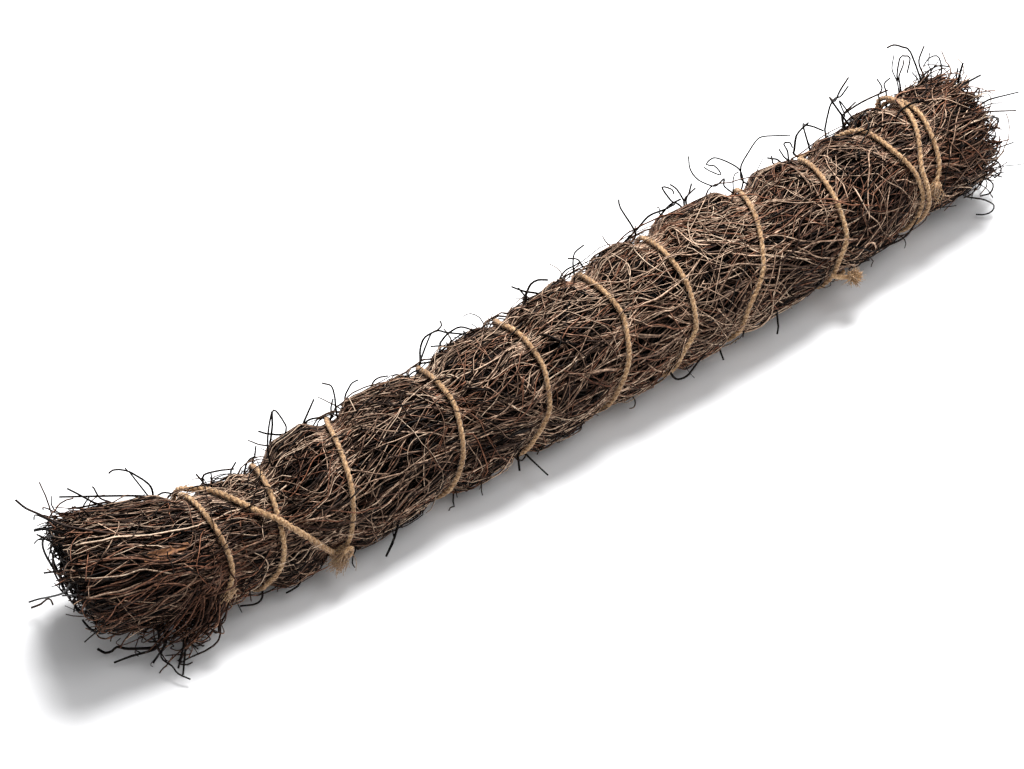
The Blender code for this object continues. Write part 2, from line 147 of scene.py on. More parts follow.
@dataclass(frozen=True)
class Winding:
    """The twine's way around the bundle, and how it draws the twigs in."""

    radius: float = 1.35
    depth: float = 1.5
    flat_half: float = 3.0
    fall: float = 9.0
    over: float = 1.7
    clearance_below: float = 4.4
    sunk: tuple = (3868, 3970)
    dive: tuple = (12, 8)
    overrun: float = 8.0
    route: tuple = (
        (-18, -136.5), (22, -145.5), (51, -153.4), (76, -161), (102, -166.5), (131, -171),
        (147, -178), (240, -188), (330, -194), (352, -188), (370, -182), (390, -179.6),
        (417, -178.8), (507, -180), (600, -176), (706, -167.5), (717, -163), (741, -158.4),
        (761, -156), (780, -154.2), (808, -151.3), (834, -149.6), (868, -148), (960, -142),
        (1062, -132), (1092, -128), (1133, -122), (1206, -114), (1318, -97), (1431, -79),
        (1462, -73), (1510, -67), (1570, -67), (1682, -55), (1794, -40), (1819, -31),
        (1860, -26), (1897, -26), (1925, -28), (2040, -14), (2159, 3), (2185, 10), (2225, 16),
        (2277, 15), (2400, 24), (2522, 36), (2538, 44), (2580, 48), (2640, 49), (2770, 58),
        (2891, 71), (2918, 83), (2963, 93), (3027, 103), (3140, 111), (3246, 122),
        (3265, 128), (3330, 132), (3387, 137), (3405, 150), (3425, 166), (3445, 174),
        (3570, 174), (3644, 174.3), (3658, 178), (3675, 182.5), (3692, 185.6), (3712, 187.5),
        (3747, 189), (3790, 190), (3840, 187), (3930, 178), (3974, 178.5), (3992, 183.9),
        (4008, 186), (4025, 187.3), (4044, 189.5), (4064, 190.3), (4107, 190.5), (4120, 188),
        (4140, 176), (4165, 168), (4290, 168), (4335, 173), (4364, 172.1), (4378, 170.1),
        (4394, 167.9), (4414, 166.3), (4437, 165.6), (4476, 158), (4512, 142), (4560, 137),
        (4662, 128),
    )

    def x_at(self, total: np.ndarray) -> np.ndarray:
        """Give the twine's place along X where it has turned through a total angle."""
        return np.interp(total, [row[0] for row in self.route], [row[1] for row in self.route])

    def sink(self, total: np.ndarray) -> np.ndarray:
        """Tell where the twine runs under the twigs, from 0 to 1."""
        first, last = self.sunk
        return np.interp(total, (first - self.dive[0], first, last, last + self.dive[1]), (0, 1, 1, 0))

    def hold(self, x: np.ndarray, angle: np.ndarray) -> np.ndarray:
        """Tell how firmly the twine holds the twigs in at a place on the bundle.

        Args:
            x: places along the bundle.
            angle: angles around the axis.

        Returns:
            Shares from 0, away from the twine, to 1 under it.
        """
        nearest = np.full(np.broadcast(x, angle).shape, np.inf)
        first, last = self.route[0][0], self.route[-1][0]
        around = np.mod(angle, TURN)
        for turn in range(-1, math.ceil(last / TURN) + 1):
            total = around + TURN * turn
            gap = np.abs(x - self.x_at(total))
            over = (total > first - self.overrun) & (total < last + self.overrun)
            over &= self.sink(total) < 0.5
            nearest = np.where(over, np.minimum(nearest, gap), nearest)
        share = np.clip((self.flat_half + self.fall - nearest) / self.fall, 0.0, 1.0)
        return share * share * (3.0 - 2.0 * share)


FORM = Form()
WINDING = Winding()


def unit(vectors: np.ndarray) -> np.ndarray:
    """Give vectors along the last axis a length of one."""
    return vectors / np.maximum(np.linalg.norm(vectors, axis=-1, keepdims=True), TINY)


def turn_from(angle: np.ndarray, middle: float) -> np.ndarray:
    """Give how far angles lie from a middle one, between minus and plus half a turn."""
    return np.mod(angle - middle + TURN / 2, TURN) - TURN / 2


def bell(offset: np.ndarray, width: float) -> np.ndarray:
    """Give 1 at no offset, falling off smoothly on both sides of it."""
    return np.exp(-((offset / width) ** 2))


def evened(values: np.ndarray) -> np.ndarray:
    """Smooth values over five neighbours."""
    return np.convolve(np.pad(values, 2, mode="edge"), np.ones(5) / 5, mode="valid")


class Wander:
    """Smooth random waves, several for each strand, along its length."""

    length_spread: tuple = (0.8, 1.25)
    size_spread: tuple = (0.4, 1.3)

    def __init__(self, rng: np.random.Generator, count: int, waves: tuple) -> None:
        """Draw the waves.

        Args:
            rng: the source of random numbers.
            count: how many strands there are.
            waves: (length, size) of each wave.
        """
        lengths, sizes = np.array(waves, dtype=float).T
        shape = (count, len(waves))
        self.lengths = lengths * rng.uniform(*self.length_spread, shape)
        self.sizes = sizes * rng.uniform(*self.size_spread, shape)
        self.phases = rng.uniform(0, 2 * math.pi, shape)

    def at(self, along: np.ndarray) -> np.ndarray:
        """Give the sum of the waves at the distances along each strand."""
        turns = 2 * math.pi * along[..., None] / self.lengths[:, None] + self.phases[:, None]
        return (self.sizes[:, None] * np.sin(turns)).sum(-1)


def thinned(points: np.ndarray, slack: float) -> np.ndarray:
    """Tell which points of a path are enough to draw it.

    Args:
        points: the path.
        slack: how far the drawn path may stray from the full one.

    Returns:
        The indices of the points to keep.
    """
    keep = np.zeros(len(points), dtype=bool)
    keep[[0, -1]] = True
    spans = [(0, len(points) - 1)]
    while spans:
        first, last = spans.pop()
        if last - first < 2:
            continue
        chord = points[last] - points[first]
        inside = points[first + 1:last] - points[first]
        share = np.clip(inside @ chord / max(chord @ chord, TINY), 0.0, 1.0)
        off = inside - share[:, None] * chord
        gaps = np.einsum("ij,ij->i", off, off)
        worst = int(gaps.argmax())
        if gaps[worst] > slack * slack:
            middle = first + 1 + worst
            keep[middle] = True
            spans += [(first, middle), (middle, last)]
    return np.flatnonzero(keep)


def smooth_through(knots: list, step: float) -> np.ndarray:
    """Run a smooth path through some points.

    Args:
        knots: the points that the path goes through.
        step: about how far apart the path's own points are.

    Returns:
        The path's points.
    """
    knots = np.array(knots, dtype=float)
    ends = np.vstack((2 * knots[0] - knots[1], knots, 2 * knots[-1] - knots[-2]))
    path = [knots[:1]]
    for index in range(1, len(ends) - 2):
        before, start, stop, after = ends[index - 1:index + 3]
        count = max(2, int(np.linalg.norm(stop - start) / step))
        t = (np.arange(1, count + 1) / count)[:, None]
        path.append(0.5 * (
            2 * start + (stop - before) * t
            + (2 * before - 5 * start + 4 * stop - after) * t ** 2
            + (3 * start - before - 3 * stop + after) * t ** 3
        ))
    return np.vstack(path)


class StrandMesh:
    """Makes one mesh of many closed round strands."""

    margins: tuple = (0.04, 0.08)
    cap_size: tuple = (0.012, 0.3)
    # Tone factors by how each side of a strand faces away from the bundle's axis: painted shade on the
    # inward flanks, painted highlight on the outer face.
    painted_shade_and_highlight: tuple = ((-1.0, -0.3, 0.6, 1.0), (0.10, 0.33, 0.92, 1.20))
    offset: float = 0.37

    def __init__(self, name: str, sides: int) -> None:
        """Keep the mesh's name and how many sides its strands have."""
        self.name = name
        self.sides = sides

    def frames(self, points: np.ndarray) -> tuple:
        """Carry a square frame along each strand without twist.

        Args:
            points: the padded paths, as (strand, point, coordinate).

        Returns:
            The two directions across each strand at each point.
        """
        units = unit(np.diff(points, axis=1))
        blank = np.zeros_like(points[:, :1])
        tangents = np.concatenate((units[:, :1], units), 1) + np.concatenate((units, blank), 1)
        sizes = np.linalg.norm(tangents, axis=2, keepdims=True)
        tangents = np.where(sizes > 1e-6, unit(tangents), (1.0, 0.0, 0.0))
        upright = np.abs(tangents[:, 0, 2:3]) < 0.8
        across = np.where(upright, (0.0, 0.0, 1.0), (1.0, 0.0, 0.0))
        first = np.empty_like(points)
        for index in range(points.shape[1]):
            tangent = tangents[:, index]
            across = unit(across - tangent * (across * tangent).sum(1, keepdims=True))
            first[:, index] = across
        return first, np.cross(tangents, first)

    def map_strips(self, counts: np.ndarray, alongs: np.ndarray, faces: tuple) -> np.ndarray:
        """Lay each strand out as a strip of its own on the unit square.

        Args:
            counts: how many rings each strand has.
            alongs: each ring's share of its strand's length.
            faces: (strand, ring, side) of each wall face.

        Returns:
            The places on the map of all the corners, walls first, then the two caps.
        """
        columns = max(1, round(math.sqrt(len(counts) / 30)))
        rows = math.ceil(len(counts) / columns)
        width, height = 1 / columns, 1 / rows
        cell = np.arange(len(counts))
        left, low = (cell % columns) * width, (cell // columns) * height
        owner, ring, side = faces
        beside, under = self.margins
        near = left[owner] + width * (beside + (1 - 2 * beside) * alongs[ring])
        far = left[owner] + width * (beside + (1 - 2 * beside) * alongs[ring + 1])
        foot = low[owner] + height * (under + (1 - 2 * under) * side / self.sides)
        head = low[owner] + height * (under + (1 - 2 * under) * (side + 1) / self.sides)
        walls = np.stack((near, foot, near, head, far, head, far, foot), -1).reshape(-1, 2)
        turn = 2 * math.pi * np.arange(self.sides) / self.sides
        broad, tall = self.cap_size
        wheel = np.stack((broad * width * np.cos(turn), tall * height * np.sin(turn)), -1)
        middles = np.stack((left + beside / 2 * width, low + height / 2), -1)
        starts = middles[:, None] + wheel[None, ::-1]
        stops = middles[:, None] + ((1 - beside) * width, 0.0) + wheel[None]
        return np.concatenate((walls, starts.reshape(-1, 2), stops.reshape(-1, 2)))

    def build(self, strands: list) -> bpy.types.Object:
        """Make the mesh and its object.

        Args:
            strands: the strands to draw.

        Returns:
            The object, with a map of strips and the strands' attributes.
        """
        counts = np.array([len(strand.points) for strand in strands])
        total, longest, sides = len(strands), counts.max(), self.sides
        points, radii = np.zeros((total, longest, 3)), np.zeros((total, longest))
        for index, strand in enumerate(strands):
            points[index, :counts[index]] = strand.points
            points[index, counts[index]:] = strand.points[-1]
            radii[index, :counts[index]] = strand.radii
        real = np.arange(longest)[None] < counts[:, None]
        first, second = self.frames(points)
        turn = 2 * math.pi * np.arange(sides) / sides
        circle = first[:, :, None] * np.cos(turn)[:, None] + second[:, :, None] * np.sin(turn)[:, None]
        rings = (points[:, :, None] + radii[:, :, None, None] * circle)[real]
        steps = np.linalg.norm(np.diff(points, axis=1), axis=2)
        run = np.concatenate((np.zeros((total, 1)), np.cumsum(steps, axis=1)), 1)
        share = (run / np.maximum(run[:, -1:], TINY))[real]
        starts = np.concatenate(([0], np.cumsum(counts)[:-1]))
        owners = np.repeat(np.arange(total), counts - 1)
        within = np.arange(len(owners)) - np.repeat(np.cumsum(counts - 1) - (counts - 1), counts - 1)
        ring = np.repeat(starts[owners] + within, sides)
        side = np.tile(np.arange(sides), len(owners))
        after = (side + 1) % sides
        walls = np.stack((ring * sides + side, ring * sides + after,
                          (ring + 1) * sides + after, (ring + 1) * sides + side), -1)
        caps = starts[:, None] * sides + np.arange(sides)[None, ::-1]
        tips = (starts + counts - 1)[:, None] * sides + np.arange(sides)[None]
        corners = np.concatenate((walls.ravel(), caps.ravel(), tips.ravel()))
        sizes = np.concatenate((np.full(len(walls), 4), np.full(2 * total, sides)))
        mesh = bpy.data.meshes.new(self.name)
        mesh.vertices.add(rings.shape[0] * sides)
        mesh.vertices.foreach_set("co", (rings * MM).ravel())
        mesh.loops.add(len(corners))
        mesh.loops.foreach_set("vertex_index", corners)
        mesh.polygons.add(len(sizes))
        mesh.polygons.foreach_set("loop_start", np.concatenate(([0], np.cumsum(sizes)[:-1])))
        mesh.polygons.foreach_set("use_smooth", np.ones(len(sizes), dtype=bool))
        mesh.update(calc_edges=True)
        strips = self.map_strips(counts, share, (np.repeat(owners, sides), ring, side))
        mesh.uv_layers.new(name="OFBake").data.foreach_set("uv", strips.ravel())
        own = np.repeat(np.arange(total), counts * sides)
        tones = np.concatenate([np.broadcast_to(strand.tone, len(strand.points)) for strand in strands])
        # Painted shade and highlight: the tone is scaled by how each corner faces out of the bundle.
        outward = FORM.outward(points[real])
        facing = (circle[real] * outward[:, None]).sum(axis=2)
        self.add_attribute(mesh, "tone", (tones[:, None] * np.interp(facing, *self.painted_shade_and_highlight)).ravel())
        self.add_attribute(mesh, "ruddy", np.array([strand.ruddy for strand in strands])[own])
        offsets = np.arange(total) * self.offset
        self.add_attribute(mesh, "along", np.repeat(run[real] * MM, sides) + offsets[own])
        item = bpy.data.objects.new(self.name, mesh)
        bpy.context.scene.collection.objects.link(item)
        triangles = 2 * len(walls) + 2 * total * (sides - 2)
        log.info("%s: %d strands, %d triangles", self.name, total, triangles)
        return item

    @staticmethod
    def add_attribute(mesh: bpy.types.Mesh, name: str, values: np.ndarray) -> None:
        """Store one number for each vertex."""
        mesh.attributes.new(name, "FLOAT", "POINT").data.foreach_set("value", values.astype(np.float32))


class Nodes:
    """A material's node tree, with short ways to add and link nodes."""

    def __init__(self, name: str) -> None:
        """Start a material with an empty Principled shader."""
        self.material = bpy.data.materials.new(name)
        self.material.use_nodes = True
        self.tree = self.material.node_tree
        self.shader = self.tree.nodes["Principled BSDF"]

    def add(self, kind: str, **values: object) -> bpy.types.Node:
        """Add a node.

        Args:
            kind: the node's type.
            values: settings by attribute name, or inputs by their name with spaces as
                double underscores.

        Returns:
            The node.
        """
        node = self.tree.nodes.new(kind)
        for key, value in values.items():
            if hasattr(node, key):
                setattr(node, key, value)
            else:
                node.inputs[key.replace("__", " ")].default_value = value
        return node

    def link(self, source: bpy.types.NodeSocket, target: bpy.types.NodeSocket) -> None:
        """Join an output to an input."""
        self.tree.links.new(source, target)

    def place(self) -> bpy.types.NodeSocket:
        """Give the object's own coordinates."""
        return self.add("ShaderNodeTexCoord").outputs["Object"]

    def number(self, name: str) -> bpy.types.NodeSocket:
        """Give a number that the mesh holds for each vertex."""
        return self.add("ShaderNodeAttribute", attribute_name=name).outputs["Fac"]

    def noise(self, scale: float, detail: float, source: bpy.types.NodeSocket) -> bpy.types.NodeSocket:
        """Give smooth noise that reads a place.

        Args:
            scale: the pattern's repeats in a metre.
            detail: how many finer layers it has.
            source: the place to read.

        Returns:
            The noise, about 0.5.
        """
        node = self.add("ShaderNodeTexNoise", Scale=scale, Detail=detail)
        self.link(source, node.inputs["Vector"])
        return node.outputs["Fac"]

    def bands(self, scale: float, source: bpy.types.NodeSocket) -> bpy.types.NodeSocket:
        """Give noise that changes along a strand alone."""
        node = self.add("ShaderNodeTexNoise", noise_dimensions="1D", Scale=scale, Detail=2.0)
        self.link(source, node.inputs["W"])
        return node.outputs["Fac"]

    def remap(self, source: bpy.types.NodeSocket, low: float, high: float,
              new_low: float, new_high: float) -> bpy.types.NodeSocket:
        """Stretch a range of numbers to another.

        Args:
            source: the numbers.
            low: the start of their range.
            high: the end of their range.
            new_low: what the start becomes.
            new_high: what the end becomes.

        Returns:
            The new numbers.
        """
        node = self.add("ShaderNodeMapRange")
        for key, value in (("From Min", low), ("From Max", high), ("To Min", new_low), ("To Max", new_high)):
            node.inputs[key].default_value = value
        self.link(source, node.inputs["Value"])
        return node.outputs["Result"]

    def ramp(self, source: bpy.types.NodeSocket, stops: tuple) -> bpy.types.NodeSocket:
        """Turn numbers into colours.

        Args:
            source: the numbers.
            stops: (place, colour) of each stop.

        Returns:
            The colours.
        """
        node = self.add("ShaderNodeValToRGB")
        while len(node.color_ramp.elements) < len(stops):
            node.color_ramp.elements.new(0.5)
        for element, (place, colour) in zip(node.color_ramp.elements, stops):
            element.position = place
            element.color = (*colour, 1.0)
        self.link(source, node.inputs["Fac"])
        return node.outputs["Color"]

    def mix(self, share: bpy.types.NodeSocket, first: object, second: object,
            blend: str = "MIX") -> bpy.types.NodeSocket:
        """Mix two colours.

        Args:
            share: how much of the second is used.
            first: a colour or a socket.
            second: a colour or a socket.
            blend: how they are mixed.

        Returns:
            The mixed colour.
        """
        node = self.add("ShaderNodeMix", data_type="RGBA", blend_type=blend)
        if isinstance(share, float):
            node.inputs[0].default_value = share
        else:
            self.link(share, node.inputs[0])
        for value, socket in ((first, node.inputs[6]), (second, node.inputs[7])):
            if isinstance(value, tuple):
                socket.default_value = (*value, 1.0)
            else:
                self.link(value, socket)
        return node.outputs[2]

    def bump(self, height: bpy.types.NodeSocket, distance: float, strength: float) -> None:
        """Raise the surface by a pattern.

        Args:
            height: the pattern.
            distance: its height in metres.
            strength: how much of it shows.
        """
        node = self.add("ShaderNodeBump", Strength=strength, Distance=distance)
        self.link(height, node.inputs["Height"])
        self.link(node.outputs["Normal"], self.shader.inputs["Normal"])

    def finish(self, colour: bpy.types.NodeSocket, roughness: bpy.types.NodeSocket) -> bpy.types.Material:
        """Give the shader its colour and roughness, and hand the material over."""
        self.link(colour, self.shader.inputs["Base Color"])
        self.link(roughness, self.shader.inputs["Roughness"])
        return self.material


@dataclass(frozen=True)
class BarkFinish:
    """Smooth wiry bark, from near black through brown to weathered tan."""

    name: str = "twig_bark"
    tones: tuple = (
        (0.0, (0.001, 0.0007, 0.0006)),
        (0.22, (0.006, 0.0036, 0.0028)),
        (0.5, (0.068, 0.041, 0.030)),
        (0.75, (0.300, 0.198, 0.136)),
        (1.0, (0.830, 0.640, 0.470)),
    )
    ruddy: tuple = (1.0, 0.50, 0.34)
    grey: tuple = (0.90, 0.98, 1.02)
    roughness: tuple = (0.36, 0.58)
    mottling: tuple = (0.78, 1.22)
    mottle_scale: float = 700.0
    ring_scale: float = 420.0
    wear_scale: float = 90.0
    grain_scale: float = 1500.0
    shine: float = 0.07
    bump_height: float = 0.10 * MM

    def material(self) -> bpy.types.Material:
        """Make the bark, whose tone and redness each twig brings with it; the tone holds painted shade and
        painted highlight.
        """
        nodes = Nodes(self.name)
        place = nodes.place()
        mottle = nodes.noise(self.mottle_scale, 3.0, place)
        rings = nodes.bands(self.ring_scale, nodes.number("along"))
        spread = nodes.remap(mottle, *MOST_NOISE, *self.mottling)
        shade = nodes.add("ShaderNodeMath", operation="MULTIPLY")
        nodes.link(nodes.number("tone"), shade.inputs[0])
        nodes.link(spread, shade.inputs[1])
        colour = nodes.ramp(shade.outputs[0], self.tones)
        warm = nodes.mix(0.9, colour, self.ruddy, "MULTIPLY")
        colour = nodes.mix(nodes.number("ruddy"), colour, warm)
        pale = nodes.mix(1.0, colour, self.grey, "MULTIPLY")
        colour = nodes.mix(nodes.remap(rings, 0.56, 0.75, 0.0, 0.6), colour, pale)
        worn = nodes.remap(nodes.noise(self.wear_scale, 2.0, place), 0.35, 0.65, 0.75, 1.0)
        dark = nodes.add("ShaderNodeCombineColor")
        for channel in ("Red", "Green", "Blue"):
            nodes.link(worn, dark.inputs[channel])
        colour = nodes.mix(1.0, colour, dark.outputs[0], "MULTIPLY")
        nodes.bump(nodes.noise(self.grain_scale, 2.0, place), self.bump_height, 0.5)
        nodes.shader.inputs["Specular IOR Level"].default_value = self.shine
        return nodes.finish(colour, nodes.remap(mottle, *MOST_NOISE, *self.roughness))


@dataclass(frozen=True)
class JuteFinish:
    """Light golden-tan jute, streaked from dark to pale, with faint dark stains."""

    name: str = "jute_twine"
    dark: tuple = (0.150, 0.072, 0.030)
    plain: tuple = (0.400, 0.235, 0.115)
    pale: tuple = (0.700, 0.495, 0.290)
    roughness: tuple = (0.72, 0.9)
    streak_scale: float = 1300.0
    stain_scale: float = 60.0
    streak_height: float = 0.15 * MM
    sheen: float = 0.25
    shine: float = 0.25

    def material(self) -> bpy.types.Material:
        """Make the jute, streaked along its fibres."""
        nodes = Nodes(self.name)
        place = nodes.place()
        streaks = nodes.noise(self.streak_scale, 3.0, place)
        stains = nodes.noise(self.stain_scale, 1.0, place)
        stops = ((0.0, self.dark), (0.5, self.plain), (1.0, self.pale))
        colour = nodes.ramp(nodes.remap(streaks, *MOST_NOISE, 0.0, 1.0), stops)
        colour = nodes.mix(nodes.remap(stains, 0.4, 0.65, 0.0, 0.35), colour, self.dark)
        nodes.bump(streaks, self.streak_height, 0.7)
        nodes.shader.inputs["Sheen Weight"].default_value = self.sheen
        nodes.shader.inputs["Specular IOR Level"].default_value = self.shine
        return nodes.finish(colour, nodes.remap(streaks, *MOST_NOISE, *self.roughness))


@dataclass(frozen=True)
class FlakeFinish:
    """Orange-brown fibrous inner bark."""

    name: str = "flake_bark"
    dark: tuple = (0.050, 0.018, 0.008)
    plain: tuple = (0.200, 0.080, 0.030)
    pale: tuple = (0.400, 0.195, 0.078)
    roughness: tuple = (0.65, 0.9)
    grain_scale: float = 1100.0
    grain_stretch: float = 0.25
    grain_height: float = 0.3 * MM

    def material(self) -> bpy.types.Material:
        """Make the flake's bark, with grain along X."""
        nodes = Nodes(self.name)
        mapping = nodes.add("ShaderNodeMapping")
        mapping.inputs["Scale"].default_value = (self.grain_stretch, 1.0, 1.0)
        nodes.link(nodes.place(), mapping.inputs["Vector"])
        grain = nodes.noise(self.grain_scale, 4.0, mapping.outputs["Vector"])
        stops = ((0.0, self.dark), (0.5, self.plain), (1.0, self.pale))
        colour = nodes.ramp(nodes.remap(grain, *MOST_NOISE, 0.0, 1.0), stops)
        nodes.bump(grain, self.grain_height, 0.8)
        return nodes.finish(colour, nodes.remap(grain, *MOST_NOISE, *self.roughness))


@dataclass(frozen=True)
class PaperFinish:
    """Matt white paper of the studio floor."""

    name: str = "white_paper"
    colour: tuple = (0.88, 0.88, 0.89)
    clouded: tuple = (0.84, 0.84, 0.85)
    cloud_scale: float = 3.0
    roughness: tuple = (0.88, 0.92)
    shine: float = 0.1

    def material(self) -> bpy.types.Material:
        """Make the paper, with the faintest cloudiness."""
        nodes = Nodes(self.name)
        cloud = nodes.noise(self.cloud_scale, 1.0, nodes.place())
        colour = nodes.mix(nodes.remap(cloud, *MOST_NOISE, 0.0, 0.04), self.colour, self.clouded)
        nodes.shader.inputs["Specular IOR Level"].default_value = self.shine
        return nodes.finish(colour, nodes.remap(cloud, *MOST_NOISE, *self.roughness))


@dataclass
class Studio:
    """The camera, the floor and the soft lights."""

    aim: tuple = (-32.45, 0.0, 26.11)
    azimuth: float = -34.5
    elevation: float = 53.0
    distance: float = 1152.0
    lens: float = 95.77
    sensor: float = 36.0
    clip: tuple = (0.01, 50.0)
    floor_size: float = 9.0
    sky: float = 0.42
    lamps: tuple = (
        # name, place in metres, size in metres, watts
        ("key_softbox", (0.62, 0.62, 1.50), 0.8, 60.0),
        ("right_softbox", (0.60, -0.40, 1.40), 0.9, 6.0),
    )

    def add_camera(self) -> None:
        """Put the camera at the photograph's place."""
        data = bpy.data.cameras.new("camera")
        data.sensor_width = self.sensor
        data.lens = self.lens
        data.clip_start, data.clip_end = self.clip
        camera = bpy.data.objects.new("camera", data)
        bpy.context.scene.collection.objects.link(camera)
        turn, rise = math.radians(self.azimuth), math.radians(self.elevation)
        flat = math.cos(rise)
        back = Vector((math.sin(turn) * flat, -math.cos(turn) * flat, math.sin(rise)))
        camera.location = (Vector(self.aim) + self.distance * back) * MM
        camera.rotation_euler = (-back).to_track_quat("-Z", "Y").to_euler()
        bpy.context.scene.camera = camera

    def add_floor(self) -> None:
        """Lay the white floor under the bundle."""
        bpy.ops.mesh.primitive_plane_add(size=self.floor_size, location=(0, 0, 0))
        floor = bpy.context.object
        floor.name = "studio_floor"
        floor.data.materials.append(PaperFinish().material())

    def add_lights(self) -> None:
        """Light the bundle softly from above and behind."""
        world = bpy.data.worlds.new("soft_sky")
        world.use_nodes = True
        sky = world.node_tree.nodes["Background"]
        sky.inputs["Color"].default_value = (1.0, 1.0, 1.0, 1.0)
        sky.inputs["Strength"].default_value = self.sky
        bpy.context.scene.world = world
        for name, place, size, watts in self.lamps:
            data = bpy.data.lights.new(name, "AREA")
            data.shape, data.size, data.energy = "DISK", size, watts
            lamp = bpy.data.objects.new(name, data)
            bpy.context.scene.collection.objects.link(lamp)
            lamp.location = place
            lamp.rotation_euler = (-Vector(place)).to_track_quat("-Z", "Y").to_euler()


class Tones:
    """Draws the tone and redness of a twig by where it grows in the bundle."""

    places: tuple = (-245, -200, -150, -60, 0, 55, 120, 190, 245)
    ruddy_shares: tuple = (0.50, 0.45, 0.25, 0.25, 0.25, 0.25, 0.3, 0.45, 0.65)
    tan_shares: tuple = (0.50, 0.48, 0.42, 0.56, 0.78, 0.92, 0.52, 0.54, 0.42)
    # Tone factors by depth under the outer surface: painted shade, down to near black for buried twigs.
    painted_depth_shade: tuple = ((0.0, 1.3, 2.8, 4.6), (1.0, 0.66, 0.18, 0.03))
    plain_spread: tuple = (1.8, 1.9)
    plain_top: float = 0.78
    tan_tones: tuple = (0.7, 1.0)
    plain_ruddy: tuple = (0.0, 0.22)
    full_ruddy: tuple = (0.35, 0.85)
    ruddy_top: float = 0.70

    def __init__(self, rng: np.random.Generator) -> None:
        """Keep the source of random numbers."""
        self.rng = rng

    def draw(self, x: float) -> tuple:
        """Draw one twig's tone and redness.

        Args:
            x: where the twig is along the bundle.

        Returns:
            Its tone and its redness, from 0 to 1.
        """
        ruddy_share = np.interp(x, self.places, self.ruddy_shares)
        tan_share = np.interp(x, self.places, self.tan_shares)
        tone = self.rng.beta(*self.plain_spread) * self.plain_top
        if self.rng.random() < tan_share:
            tone = self.rng.uniform(*self.tan_tones)
        ruddy = self.rng.uniform(*self.plain_ruddy)
        if self.rng.random() < ruddy_share:
            ruddy, tone = self.rng.uniform(*self.full_ruddy), min(tone, self.ruddy_top)
        return tone, ruddy

    @classmethod
    def with_painted_shade(cls, tone: float, depth: np.ndarray) -> np.ndarray:
        """Paint shade into a twig's tone where it lies deep under the others."""
        return tone * np.interp(depth, *cls.painted_depth_shade)


class TwigPiece:
    """A piece of many twigs, made as one mesh."""

    name: str
    sides: int = 3

    def strands(self) -> list:
        """Lay the piece's twigs."""
        raise NotImplementedError

    def build(self, bark: bpy.types.Material) -> bpy.types.Object:
        """Make and dress the piece."""
        item = StrandMesh(self.name, self.sides).build(self.strands())
        item.data.materials.append(bark)
        return item


@dataclass
class InnerTwigs(TwigPiece):
    """The straight twigs that fill the bundle under the ones that show."""

    count: int = 620
    seed: int = 5
    thickness: float = 1.9
    cover: float = 6.5
    step: float = 30.0
    dish_shares: tuple = (0.0, 0.42, 0.74, 1.0)
    near_depths: tuple = (36.0, 32.0, 22.0, 6.0)
    far_depths: tuple = (16.0, 14.0, 9.0, 4.0)
    near_ragged: tuple = (-3, 7)
    far_ragged: tuple = (-5, 4)
    lowest: float = 4.5
    # Near-black tones: painted shade for the twigs deep inside the bundle.
    tones: tuple = (0.0, 0.10)
    ruddy: tuple = (0.0, 0.3)
    name: str = "inner_twigs"

    def strands(self) -> list:
        """Lay the twigs from end to end, inside the outer ones."""
        rng = np.random.default_rng(self.seed)
        made = []
        for index in range(self.count):
            share = math.sqrt((index + 0.5) / self.count)
            angle = index * GOLDEN_ANGLE
            near = float(np.interp(share, self.dish_shares, self.near_depths))
            far = float(np.interp(share, self.dish_shares, self.far_depths))
            first = FORM.rims[0] + near + rng.uniform(*self.near_ragged)
            last = FORM.rims[1] - far + rng.uniform(*self.far_ragged)
            count = int((last - first) / self.step) + 2
            x = np.linspace(first, last, count)
            sway = np.cumsum(rng.normal(0, 1.2, count))
            radius = share * (FORM.radius(x) - self.cover) + rng.normal(0, 0.35, count)
            points = FORM.place(x, angle + sway, np.maximum(radius, 0.0))
            lowest = self.thickness / 2 + self.lowest + FORM.rise(x)
            points[:, 2] = np.maximum(points[:, 2], lowest)
            radii = np.full(count, self.thickness / 2) * rng.uniform(0.8, 1.05)
            made.append(Strand(points, radii, rng.uniform(*self.tones), rng.uniform(*self.ruddy)))
        return made


@dataclass
class Kind:
    """One way in which outer twigs lie."""

    share: float
    slope: float
    slope_spread: float
    lengths: tuple
    waves: tuple
    kinks: float
    depths: tuple
    arc: float = 0.0


